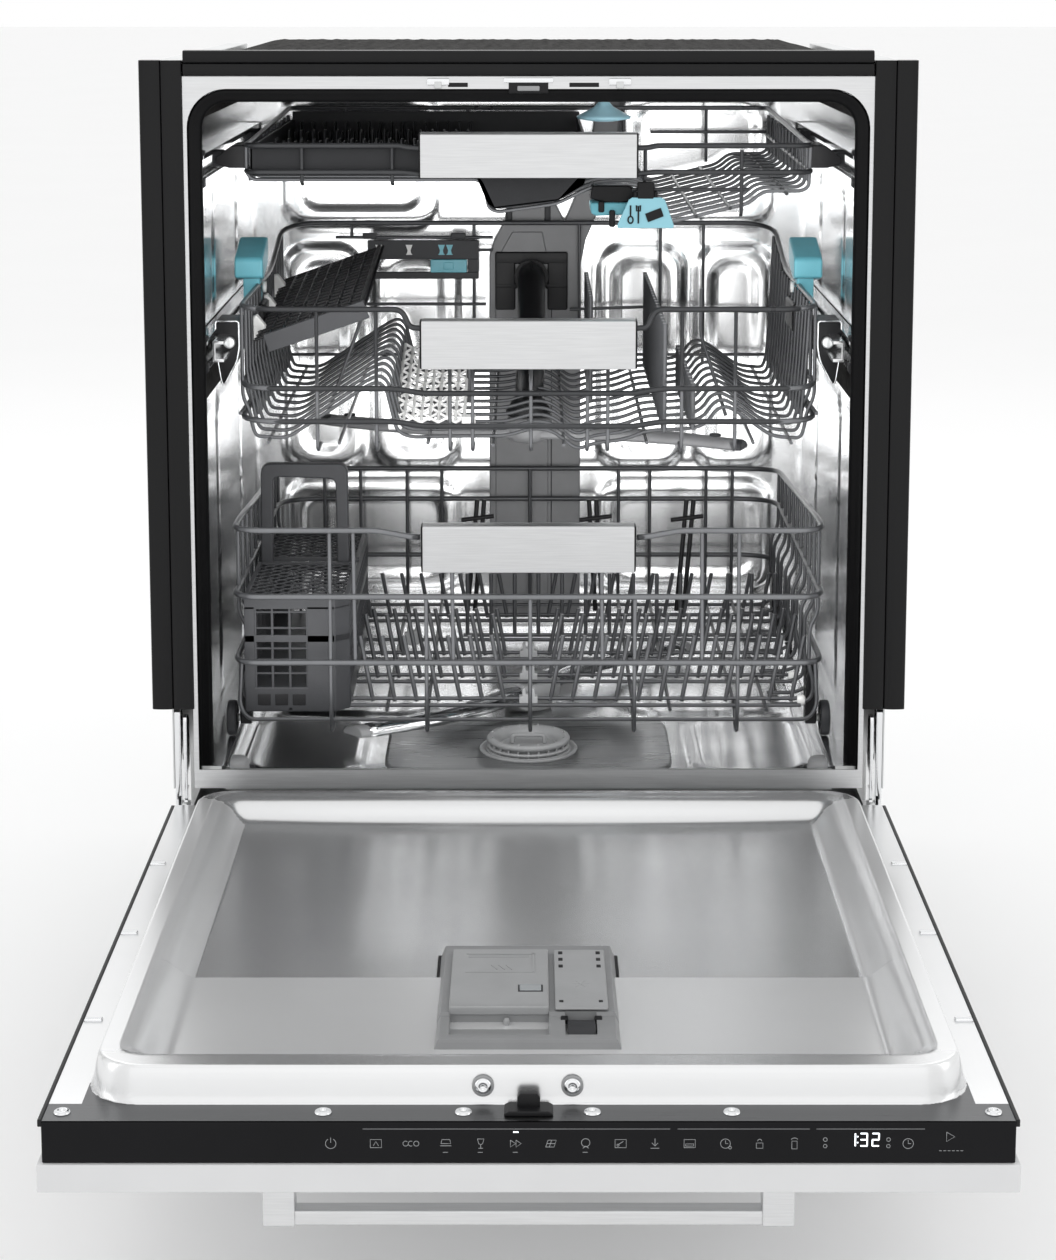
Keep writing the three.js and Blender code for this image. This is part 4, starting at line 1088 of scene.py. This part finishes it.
def middle_floor(y):
    """The wavy floor wire of the middle rack at one depth, from the left rail to the right."""
    dip = -6.0 * (1 - (y - RACK_Y0) / (RACK_Y1 - RACK_Y0))
    end = [(-MIDDLE, rail_z(y)), (-MIDDLE, 528), (-MIDDLE + 6, 516)]
    wave = [(-MIDDLE + 8, 508), (-232, 500), (-206, 498), (-138, 543), (-128, 547), (-121, 541),
            (-112, 504), (-100, 499), (-62, 500), (-20, 500), (4, 507), (20, 505), (42, 488),
            (56, 494), (82, 497), (102, 505), (134, 506), (150, 509), (160, 523), (168, 526),
            (178, 521), (207, 500), (232, 498), (MIDDLE - 8, 508)]
    line = end + [(x, z + dip) for x, z in wave] + [(-x, z) for x, z in reversed(end)]
    return rounded([(x, y, z) for x, z in line], 9, 4)


paths = [middle_floor(y) for y in np.linspace(72, 444, 12)]
for x, top in ((-177.5, 606), (173.5, 606), (-127.7, 606), (128.7, 606), (-66, 560), (-47, 560),
        (66.7, 560), (49.5, 560), (2, 560)):
    paths.append(rounded([(x, 44, top), (x, 44, 492), (x, 50, 486), (x, 80, 487)], 8, 4))
for x in (-220, -160, -85, -30, 30, 100, 190, 222):
    z = 492 if abs(x) > 60 else 490
    paths.append([(x, 52, z), (x, RACK_Y1 - 6, z + 5)])
for x, low in ((-175, 626), (-54, 500), (50.5, 500), (131, 500), (173.6, 500)):
    paths.append([(x, RACK_Y1, 638), (x, RACK_Y1 - 2, low)])
paths += [[(-190.8, 459, 625.5), (-35, 459, 625.5)], [(41, 460, 553.5), (118, 460, 556), (229, 460, 551)],
          [(-173, 459, 559), (-42, 459, 559)], [(-52, 459, 613), (-35, 459, 613)],
          [(-238, RACK_Y1 - 2, 508), (238, RACK_Y1 - 2, 508)], [(-244, 60, 516), (-238, RACK_Y1 - 4, 516)],
          [(244, 60, 516), (238, RACK_Y1 - 4, 516)]]
paths += [rounded([(154.8, 205, 605), (154.8, 205, 562), (160, 208, 548), (177, 190, 492)], 8, 3),
          rounded([(-149, 205, 605), (-150, 205, 578), (-154, 208, 566), (-180, 190, 494)], 8, 3)]
for y in np.linspace(88, 428, 15):
    paths += [[(MIDDLE - 3, y, rail_z(y) - 1), (MIDDLE - 6, y, 548), (MIDDLE - 9, y + 4, 506)],
              [(-MIDDLE + 1.5, y, rail_z(y) - 1), (-MIDDLE + 2, y, 548), (-MIDDLE + 9, y + 4, 506)]]
wires("middle_rack_wires", paths, 1.6, "middle_rack", WIRE)
stakes = []
for x, y0, y1, low, top in ((57, 250, 440, 496, 596), (115, 60, 440, 500, 596), (-54, 230, 440, 498, 532),
        (139, 60, 300, 502, 545)):
    for y in np.arange(y0, y1 + 1, 19.0):
        stakes.append([(x, y, low), (x, y, top - 3)])
stakes_obj = wires("middle_rack_tines", stakes, 2.0, "middle_rack", WIRE)
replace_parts(stakes_obj, "middle_rack")

# Load indicator on the rear wire: a dark frame with a slot and a sliding tab.
many_bricks("slider_frame", [((-159, 454, 604), (-49, 458, 623)), ((-159, 454, 584.5), (-49, 458, 591.5)),
                             ((-60, 454, 591), (-49, 458, 604.5)), ((-159, 454, 591), (-154, 458, 604.5)),
                             ((-164, 456, 624), (-150, 460.5, 630)), ((-77, 456, 624), (-62, 460.5, 630))],
            "middle_rack", DARK, 0.8)
many_bricks("slider_tab", [((-97, 452.6, 591), (-61, 457, 604)), ((-84, 451.4, 594), (-74, 453, 601.5))],
            "middle_rack", AQUA, 0.8)
for k, (x, material) in enumerate(((-148, IVORY), (-118, IVORY), (-86, AQUA), (-78, AQUA))):
    cup = [(x - 3, 609.5), (x - 2.2, 609.5), (x - 1.4, 613), (x - 3.4, 618.5), (x + 3.4, 618.5),
        (x + 1.4, 613), (x + 2.2, 609.5), (x + 3, 609.5), (x + 3, 608.6), (x - 3, 608.6)]
    prism(f"slider_mark_{k}", cup, "y", 453.5, 454.4, "middle_rack", material, edge=0)

# Perforated white rest on the floor of the rack.
REST_A, REST_B = Vector((-116, 120, 500)), Vector((-116, 322, 536))
down = REST_B - REST_A
paths = []
for i in range(17):
    p = REST_A + down * (i / 16)
    paths.append([p + Vector((k * 7.5, 0, 2.0 * (-1) ** (k + i))) for k in range(9)])
for k in range(9):
    paths.append([REST_A + down * (i / 16) + Vector((k * 7.5, 0, 2.0 * (-1) ** (k + i))) for i in range(17)])
wires("white_rest", paths, 1.5, "middle_rack", IVORY, res=1)
many_bricks("white_rest_clips", [((-58, 112, 494), (-46, 128, 504)), ((-122, 116, 492), (-110, 130, 500))],
            "middle_rack", IVORY, 1.0)

# Folding cup shelf: a black lattice on its own frame.
hinge_x, hinge_z = -237.0, 584.0
SHELF_W, SHELF_Y0, SHELF_Y1, ROLL, PITCH = 100.0, 112.0, 378.0, radians(19), 0.075
SEAT = 2.6      # the lattice hangs this far under its axis, clear of the side wires when folded


def shelf(u, y, d=0.0):
    """A point u millimetres out from the hinge, y deep and d above the shelf."""
    c, s = cos(ROLL), sin(ROLL)
    d -= SEAT
    return (hinge_x + u * c - d * s, y, hinge_z + u * s + d * c + PITCH * (y - (SHELF_Y0 + SHELF_Y1) / 2))


paths = []
for u in np.linspace(2, SHELF_W - 2, 9):
    paths.append([shelf(u, SHELF_Y0), shelf(u, SHELF_Y1)])
for y in np.linspace(SHELF_Y0, SHELF_Y1, 19):
    paths.append([shelf(0, y), shelf(SHELF_W, y)])
for k in range(20):
    a = SHELF_Y0 + 13.3 * k
    paths.append([shelf(SHELF_W, min(a, SHELF_Y1), -2), shelf(SHELF_W + 3, min(a + 6.6, SHELF_Y1), 1)])
mesh_wires = wires("cup_shelf_lattice", paths, 1.5, "cup_shelf", DARKER, res=1)
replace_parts(mesh_wires, "cup_shelf")
edge = [[at(*shelf(u, y, d)) for u, d in ((SHELF_W - 3, -4), (SHELF_W + 1, -4), (SHELF_W + 1, 3),
    (SHELF_W - 3, 3))] for y in (SHELF_Y0, SHELF_Y1)]
soften(loft("cup_shelf_edge", edge, "cup_shelf", DARKER, smooth=False), 0.8)
edge = [[at(*shelf(u, SHELF_Y0 + dy, d)) for dy, d in ((-2, -14), (2, -14), (2, 2), (-2, 2))]
    for u in (8, SHELF_W)]
soften(loft("cup_shelf_front_rail", edge, "cup_shelf", DARK, smooth=False), 0.8)
for k, y in enumerate((150, 245, 340)):
    prism(f"cup_shelf_clip_{k}", [(-246, 574), (-234, 574), (-230, 586), (-238, 596), (-246, 592)], "y",
        y - 6, y + 6, "middle_rack", IVORY, edge=1.2).location.z = PITCH * (y - 245) * MM

# Height levers: a sloping thumb plate over a tongue.
for word, side in SIDES:
    node = f"height_lever_{word}"
    x0, x1 = span(side, 237.5, 263)
    lever = prism(f"{node}_plate", [(202, 615), (202, 630), (206, 634), (252, 647), (256, 644), (250, 622),
        (214, 612)], "x", x0, x1, node, AQUA, edge=2.2, segments=3)
    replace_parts(lever, node)
    x0, x1 = span(side, 241, 256)
    prism(f"{node}_tongue", [(208, 592), (208, 616), (234, 620), (232, 596), (220, 588)], "x", x0, x1, node,
        AQUA, edge=1.6, segments=3)
    turned(f"{node}_pin", (side * 240, 226, 604), [(0, 0), (5, 0), (5, side * -3), (0, side * -3.4)],
        "middle_rack", IVORY, axis="x", count=20)
    many_bricks(f"{node}_seat", [side_box(side, 236, 245, 196, 262, 566, 592)],
                "middle_rack", DARKER, 2.0)

# Slides, their front ends and the fixed rails.
RAIL_OUT, RAIL_IN = 277.4, 266.4        # the rails' faces, out from the middle
for word, side in SIDES:
    for level, z0, z1 in (("middle", 558, 584), ("third", 712, 738)):
        node = f"{level}_rail_{word}"
        half = [(RAIL_OUT, z0), (RAIL_IN, z0), (RAIL_IN, z0 + 5), (RAIL_IN + 2, z0 + 5),
            (RAIL_IN + 2, z0 + 2), (RAIL_OUT - 1.6, z0 + 2)]
        outline = [(side * u, v) for u, v in half + [(u, z0 + z1 - v) for u, v in reversed(half)]]
        rail = prism(f"{node}_channel", outline, "y", 24, 477, "cabinet", CHROME, edge=0.5)
        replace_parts(rail, node)
        # The front end is a frame, so that the slide's rear passes through it.
        many_bricks(f"{node}_end", [side_box(side, RAIL_OUT, RAIL_IN + 4.1, 20, 32, z0 - 2, z1 + 3),
            side_box(side, RAIL_OUT, RAIL_IN - 0.6, 20, 32, z0 - 2, z0 + 6),
            side_box(side, RAIL_OUT, RAIL_IN - 0.6, 20, 32, z1 - 2, z1 + 3),
            side_box(side, RAIL_OUT, RAIL_IN, 470, 480, z0, z1)], "cabinet", DARK, 1.0)
    node = f"middle_slide_{word}"
    a, b = side * 264.6, side * 255.2
    outline = [(a, 562), (a, 580), (b, 580), (b, 577), (a - side * 2.4, 577), (a - side * 2.4, 565),
        (b, 565), (b, 562)]
    slide_obj = prism(f"{node}_channel", outline, "y", 44, 470, "middle_carriage", STEEL, edge=0.5)
    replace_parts(slide_obj, node)
    bracket = [(side * 248, 590), (side * 268, 590), (side * 268, 566), (side * 264, 540), (side * 262, 534),
               (side * 250, 556), (side * 248, 566)]
    prism(f"{node}_bracket", bracket, "y", 96, 140, "middle_carriage", DARKER, edge=1.2)
    rim_path = rounded([(x, 95, z) for x, z in bracket], 2.5, 3, cyclic=True)
    wires(f"{node}_bracket_rim", [(rim_path, True)], 0.8, "middle_carriage", CHROME)
    turned(f"{node}_roller", (side * 256, 94.5, 572), [(0, 0), (2.5, 0), (5, -0.6), (5, -4), (3.4, -5),
        (0, -5)], "middle_carriage", ZINC, axis="y", count=24)
    rear = [(side * 249, 588), (side * 264, 588), (side * 264, 556), (side * 249, 556)]
    prism(f"{node}_rear_bracket", rear, "y", 380, 430, "middle_carriage", DARKER, edge=1.2)

# ------------------------------------------------------------------ third rack and its tray
THIRD = 235.0
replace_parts(grip("third_grip", 718, 755, "third_rack"), "third_rack_handle")
rails = [grip_rail(THIRD, 743.5, 742, 753, 106, 90, 90, r=16)]
front = [(90, RACK_Y0, 720), (104, RACK_Y0, 721.5), (THIRD, RACK_Y0, 721.5), (THIRD, RACK_Y1, 727)]
low = [Vector(front[0])] + rounded(front[0:3], 5, 3)[1:-1] + rounded(front[1:4], 16,
    5)[1:-1] + [Vector(front[3])]
rails += [low, mirrored(low)]
wires("third_rack_rails", rails, 2.3, "third_rack", WIRE, res=3)


def third_floor(y):
    """A stepped cross wire: flat under the tray, low in the middle, two steps up on the right."""
    lift = 5.0 * (y - RACK_Y0) / (RACK_Y1 - RACK_Y0)
    return rounded([(x, y, z + lift) for x, z in ((-THIRD, 742), (-THIRD, 719), (-230, 714), (-42, 714),
        (-37, 709), (-33, 690), (-26, 687), (24, 694), (48, 706), (60, 709), (88, 710), (98, 706),
        (112, 681), (121, 679), (184, 694), (196, 704.5), (228, 704.5), (234, 708), (THIRD, 742))], 7, 4)


paths = [third_floor(y) for y in np.linspace(58, 446, 12)]
for x, a, b in ((-187.9, 743, 712), (-112.9, 743, 712), (96.7, 743, 706), (176.7, 740, 686)):
    paths.append(rounded([(x, 43.5, a), (x, 43.5, b), (x, 52, b - 1)], 4, 3))
for x, a, b in ((93.5, 752, 712), (175, 752, 700), (-60, 752, 722), (-180, 752, 722)):
    paths.append([(x, RACK_Y1 - 1, a), (x, RACK_Y1 - 3, b)])
paths += [[(120, RACK_Y1 - 3, 729.6), (234, RACK_Y1 - 3, 729.6)], [(86, 44, 707), (183, 44, 707)],
    [(140, 50, 684), (140, 452, 689)], [(168, 50, 691), (168, 452, 696)],
    [(215, 50, 703), (215, 452, 708)]]
for y in np.linspace(75, 440, 13):
    paths += both([[(THIRD - 1, y, 743), (THIRD - 1, y, 712)]])
third_wires = wires("third_rack_wires", paths, 1.6, "third_rack", WIRE)
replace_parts(third_wires, "third_rack")
for word, side in SIDES:
    for k, y in enumerate((105, 415)):
        wing = [(side * 235, 722), (side * 252, 722), (side * 264, 725), (side * 264, 731),
            (side * 250, 741), (side * 235, 741)]
        prism(f"third_wing_{word}_{k}", wing, "y", y - 24, y + 24, "third_rack", DARKER, edge=1.2)
        for j, dy in enumerate((-15, 15)):
            turned(f"third_roller_{word}_{k}_{j}", (side * 264, y + dy, 729),
                [(0, side * -4), (5.5, side * -4), (6.2, side * -3), (6.2, side * 2.2), (5.5, side * 3),
                (0, side * 3.2)], "third_rack", DARK, axis="x", count=24)

# Cutlery tray: a shallow plastic pan with a lowered middle and rows of upright blades.
TRAY_Y0, TRAY_Y1 = 48.0, 452.0
floor_line = [(-231, 743), (-231, 720), (-229, 718), (-44, 718), (-38, 712), (-34, 694), (-28, 690.5),
    (24, 697), (46, 710), (50, 722), (50, 744)]
skin = floor_line + [(x + (2.2 if k < 2 else -2.2 if k > 8 else 0), z + (0 if k in (0, 10) else 2.2))
                                          for k, (x, z) in reversed(list(enumerate(floor_line)))]
tray = prism("tray_pan", skin, "y", TRAY_Y0, TRAY_Y1, "third_rack", DARK, edge=0.5)
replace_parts(tray, "cutlery_tray")
for word, y, top in (("front", TRAY_Y0, 741), ("rear", TRAY_Y1 - 2, 750)):
    wall = [(x, z) for x, z in floor_line[1:10]] + [(50, top), (-231, top)]
    prism(f"tray_wall_{word}", wall, "y", y, y + 2, "third_rack", DARK, edge=0.4)
blades = []
for row, y in enumerate((110, 175, 240, 305, 370, 430)):
    for x in np.arange(-222, -46, 11.0):
        blades.append(((x, y - 10, 719), (x + 1.8, y + 10, 741 if row % 2 else 735)))
    blades.append(((-228, y - 1, 719), (-46, y + 1, 723)))
many_bricks("tray_blades", blades, "third_rack", DARK, 0.5)
ribs = [((-30, y, 691), (20, y + 1.6, 700)) for y in np.arange(90, 440, 24)]
many_bricks("tray_low_ribs", ribs, "third_rack", DARK, 0.4)

# Knob that shifts the tray, and a picture tag.
prism("knob_carriage", [(51, 699), (53, 710), (83, 710), (90, 705), (88, 697), (70, 694)], "y", 48, 76,
    "third_rack", DARKER, edge=1.4)
prism("knob_plate", [(52, 687), (51, 696), (84, 696), (88, 692), (84, 686), (56, 685)], "y", 44, 78,
    "third_rack", AQUA, edge=1.6)
many_bricks("knob_lug", [((67, 40.5, 676), (72, 46, 690)), ((58, 42.4, 688), (63, 46, 697))], "third_rack",
    DARKER, 1.0)
prism("tag_plate", [(74, 675.5), (120, 675.5), (120.5, 678), (113, 699), (110, 701), (86, 701), (83, 699),
    (73.5, 678)], "y", 36.5, 39, "third_rack", mat("tag_blue", (0.3, 0.62, 0.72), 0.4, vary=0.03,
    scale=40), edge=0.7)
many_bricks("tag_hinge", [((90, 35.5, 700), (104, 42, 714)), ((87, 37, 698), (90.5, 41, 706)),
    ((103.5, 37, 698), (107, 41, 706))], "third_rack", DARKER, 1.0)
FACE_T = 36.2
spoon = [(84.5 + 2.1 * cos(a), FACE_T, 682.5 + 2.9 * sin(a)) for a in np.linspace(0, 2 * pi, 13)]
wires("tag_marks", [spoon, [(84.5, FACE_T, 685), (84.5, FACE_T, 694.5)],
    [(91, FACE_T, 679.5), (91, FACE_T, 694)], [(89.4, FACE_T, 694.5), (89.4, FACE_T, 690),
    (92.6, FACE_T, 690), (92.6, FACE_T, 694.5)]], 0.7, "third_rack", DARKER, res=1)
prism("tag_block_mark", [(99, 680.5), (112, 685.5), (109.5, 692.5), (96.5, 687.5)], "y", FACE_T - 0.3,
    FACE_T + 0.6, "third_rack", DARKER, edge=0)

# ------------------------------------------------------------------ water parts in the tub
(wx0, wy0, wz0), (wx1, wy1, wz1) = node_mm("water_channel")
trunk = [(-39, 236), (52, 236), (52, 596), (57, 622), (70, 652), (84, 690), (90, 742), (90, 786), (66, 786),
    (66, 748), (60, 700), (46, 664), (36, 640), (24, 664), (-20, 664), (-24, 640), (-34, 622), (-39, 606)]
channel = prism("channel_trunk", trunk, "y", 470.5, 484, "cabinet", GREY, edge=1.6, segments=3)
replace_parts(channel, "water_channel")
prism("channel_face", [(-33, 246), (20, 246), (20, 600), (14, 630), (-16, 630), (-33, 600)], "y", 469, 472,
    "cabinet", GREY, edge=1.2)
many_bricks("channel_seams", [((22.6, 469.6, 246), (23.6, 471.4, 604)), ((-39.6, 476, 300), (52.6, 479, 303)),
                              ((-39.6, 476, 440), (52.6, 479, 443))], "cabinet", DARK, 0.2)
many_bricks("channel_head_clips", [((-22, 469, 640), (-16, 474, 660)), ((16, 469, 640), (22, 474, 660))],
    "cabinet", DARK, 1.0)

# Socket on the channel, and the feed pipe of the middle arm, which travels with its rack.
many_bricks("feed_socket", [((-33, 466.4, 598), (39, 471, 610)), ((-33, 466.4, 552), (-13, 471, 600)),
    ((19, 466.4, 552), (39, 471, 600)), ((-33, 466.2, 573), (-11, 471, 579)),
    ((17, 466.2, 573), (39, 471, 579))], "cabinet", DARKER, 1.4)
pipe_line = rounded([(3, 464, 586), (3, 440, 588), (3, 400, 560), (2, 330, 502), (0, 262, 492)], 30, 7)
wires("feed_pipe", [pipe_line], 13.5, "middle_rack", DARKER, res=6)
wires("feed_pipe_rim", [[(3, 459, 586), (3, 464.5, 586)]], 17.0, "middle_rack", DARKER, res=8)
wires("feed_pipe_ribs", [[(p[0], p[1], p[2] + 14.4) for p in pipe_line[::2]]], 1.5, "middle_rack", DARKER)
turned("feed_hub", (0, 245.5, 484), [(0, 0), (21, 0), (21, 5), (17, 9), (15, 14), (0, 14)], "middle_rack",
    DARKER, count=40)

# Top nozzle: a pale cone under a pipe from the roof.
(nx0, ny0, _), (nx1, ny1, _) = node_mm("top_spray_nozzle")
nc = ((nx0 + nx1) / 2, (ny0 + ny1) / 2, 0)
cone = turned("nozzle_cone", nc, [(0, 752), (9, 752), (24, 754.5), (24.6, 756.5), (22, 758), (9, 765),
    (4.5, 770), (4, 774), (0, 774)], "cabinet", PALEBLUE, count=48)
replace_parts(cone, "top_spray_nozzle")
turned("nozzle_stem", nc, [(0, 772), (6, 772), (6, 780), (12, 784), (16, 791), (0, 791)], "cabinet", GREY,
    count=32)
many_bricks("nozzle_pipe", [((nc[0] - 8, nc[1], 783), (nc[0] + 8, 484, 790.4))], "cabinet", GREY, 2.0)


def spray_arm(name, centre, reach, turn, z0, z1, width, bend, body, material, tip_material):
    """A swept hollow arm with an S bend, capped tips and nozzles along the top."""
    def turn_to(u, v):
        """A point u along and v across the unturned arm, in plan."""
        c, s = cos(turn), sin(turn)
        return centre[0] + u * c - v * s, centre[1] + u * s + v * c

    def section(u):
        t = u / reach
        w = width * (1 - 0.34 * abs(t)) / 2
        v = bend * sin(pi * t)
        lift = 2.0 * (1 - t * t)
        pts = [(-1, 0.25), (-0.82, 0.72), (-0.4, 1), (0.1, 0.94), (0.7, 0.66), (1, 0.3), (0.92, 0.0),
            (0.4, 0.0), (-0.4, 0.0), (-0.9, 0.0)]
        return [at(*turn_to(u, v + a * w), z0 + b * (z1 - z0 + lift - 2)) for a, b in pts]

    us = np.linspace(-reach + 9, reach - 9, 45)
    obj = loft(name, [section(u) for u in us], body, material)
    for word, a, b in (("a", -reach, -reach + 12), ("b", reach - 12, reach)):
        tip = loft(f"{name}_tip_{word}", [section(u) for u in np.linspace(a, b, 5)], body, tip_material)
        soften(tip, 1.2)
    for k, u in enumerate(np.linspace(-0.86, 0.86, 8) * reach):
        p = (*turn_to(u, bend * sin(pi * u / reach)), z1)
        turned(f"{name}_nozzle_{k}", p, [(0, -1.6), (5.5, -1.6), (5.0, 0.2), (2.2, 0.6), (1.8, -0.4),
            (0, -0.6)], body, tip_material, count=20)
    return obj


arm = spray_arm("lower_arm_blade", (0, 245.5), 214, 0.763, 222.5, 234, 40, 17, "lower_arm", CHROME, MIDGREY)
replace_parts(arm, "lower_spray_arm")
turned("lower_arm_hub", (0, 245.5, 0), [(0, 208.6), (22, 208.6), (22, 218), (29, 221), (30, 232), (26, 236),
    (15, 237), (13, 241), (0, 242)], "lower_arm", MIDGREY, count=48)
arm = spray_arm("middle_arm_blade", (0, 245.5), 205, -0.35, 464, 475, 38, 15, "middle_arm", GREY, DARK)
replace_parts(arm, "middle_spray_arm")
turned("middle_arm_hub", (0, 245.5, 0), [(0, 457.5), (9, 458), (19, 461), (22, 466), (22, 478), (16, 483),
    (0, 483)], "middle_arm", GREY, count=48)

# Filter: notched collars round an inner cup, ribs between, over a fine plate.
fc = (0, 112, 0)
filter_skin = turned("filter_cup", fc, [(0, 186), (23, 186), (24.5, 214), (26, 216), (31, 218.8),
    (35.5, 218.8), (36.6, 217), (36.2, 214.6), (32.5, 213.6), (31, 205), (30, 175), (0, 175)], "filter",
    LIGHT, count=64)
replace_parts(filter_skin, "filter_cylinder")
for k, (r, z, h) in enumerate(((36.4, 209.2, 2.2), (37.4, 206.0, 1.8))):
    turned(f"filter_collar_{k}", fc, [(30.5, z), (r, z), (r, z + h), (30.5, z + h)], "filter", LIGHT,
        count=64)


def round_filter(r, turn, z):
    """A point on a circle round the filter's axis; turn counts whole turns."""
    return fc[0] + r * cos(2 * pi * turn), fc[1] + r * sin(2 * pi * turn), z


ribs = [[round_filter(34.4, k / 24, z) for z in (206.5, 215.5)] for k in range(24)]
notches = [[round_filter(24.6, k / 24, 212), round_filter(33, k / 24, 219.4)] for k in range(1, 24, 2)]
wires("filter_ribs", ribs, 1.1, "filter", LIGHT, res=1)
wires("filter_notches", notches, 1.0, "filter", MIDGREY, res=1)
wires("filter_grip", [rounded([(-14, 112, 212), (-14, 112, 219), (14, 112, 219), (14, 112, 212)], 6, 4)],
    2.0, "filter", LIGHT)
turned("filter_seat", fc, [(38.6, 205), (42.4, 205.2), (43.4, 207.6), (42.4, 208.8), (39.4, 208.4),
    (38.6, 207)], "cabinet", MIDGREY, count=64)

(px0, py0, _), (px1, py1, _) = node_mm("filter_plate")


def plate_ring(grow, z, inner):
    """The plate's round inner edge, or its outer edge: a rounded rectangle, grown by some mm."""
    if inner:
        return [at(*round_filter(42.5, k / 72, z)) for k in range(72)]
    hx, hy = (px1 - px0) / 2 + grow, (py1 - py0) / 2 + grow
    squareness, out = 8.0, []
    for k in range(72):
        c, s = cos(2 * pi * k / 72), sin(2 * pi * k / 72)
        t = (abs(c / hx) ** squareness + abs(s / hy) ** squareness) ** (-1 / squareness)
        out.append(at(t * c, (py0 + py1) / 2 + t * s, z))
    return out


PLATE = mat("fine_filter_steel", (0.55, 0.555, 0.56), 0.3, 1.0, vary=0.12, rough_vary=0.1, scale=14,
    stretch=(1, 26, 26), bump=0.35, bump_scale=42)
plate = loft("fine_filter_plate", [plate_ring(0, 205.6, True), plate_ring(0, 206.4, True),
    plate_ring(-3, 208.6, False), plate_ring(0, 208.2, False), plate_ring(0, 206.6, False)], "cabinet",
    PLATE, caps=False)
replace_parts(plate, "filter_plate")

for word, side in SIDES:
    turned(f"pan_corner_post_{word}", (side * 250, 32, 0), [(0, 207), (12, 207), (12.4, 210), (11.4, 220),
        (9.6, 222.6), (0, 222.9)], "cabinet", MIDGREY, count=28)
    # Hinges: the steel arm on the door and a link and pin on the cabinet.
    node = f"hinge_arm_{word}"
    (kx0, ky0, kz0), (kx1, ky1, kz1) = node_mm(node)
    arm_line = [(ky0 + 1, kz0), (ky1, kz0), (ky1, kz1 - 5), (ky1 - 5, kz1), (-2, kz1), (-3, 262), (-3, 196),
        (-9, 190), (ky0 + 5, 190), (ky0 + 1, 186)]
    hinge_obj = prism(f"{node}_plate", arm_line, "x", kx0, kx1, "door", CHROME, edge=0.5)
    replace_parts(hinge_obj, node)
    for k, (y, z) in enumerate(((-6, 192), (6, 232), (6, 256))):
        turned(f"{node}_pin_{k}", (side * 286.6, y, z), [(0, 0), (3.6, 0), (3.6, side * 3.6),
            (2.6, side * 4.4), (0, side * 4.4)], "door", ZINC, axis="x", count=20)
    x0, x1 = span(side, 292, 297.4)
    link = [(0.5, 176), (13, 176), (16, 196), (16, 272), (0.5, 272)]
    prism(f"hinge_link_{word}", link, "x", x0, x1, "cabinet", CHROME, edge=0.8)
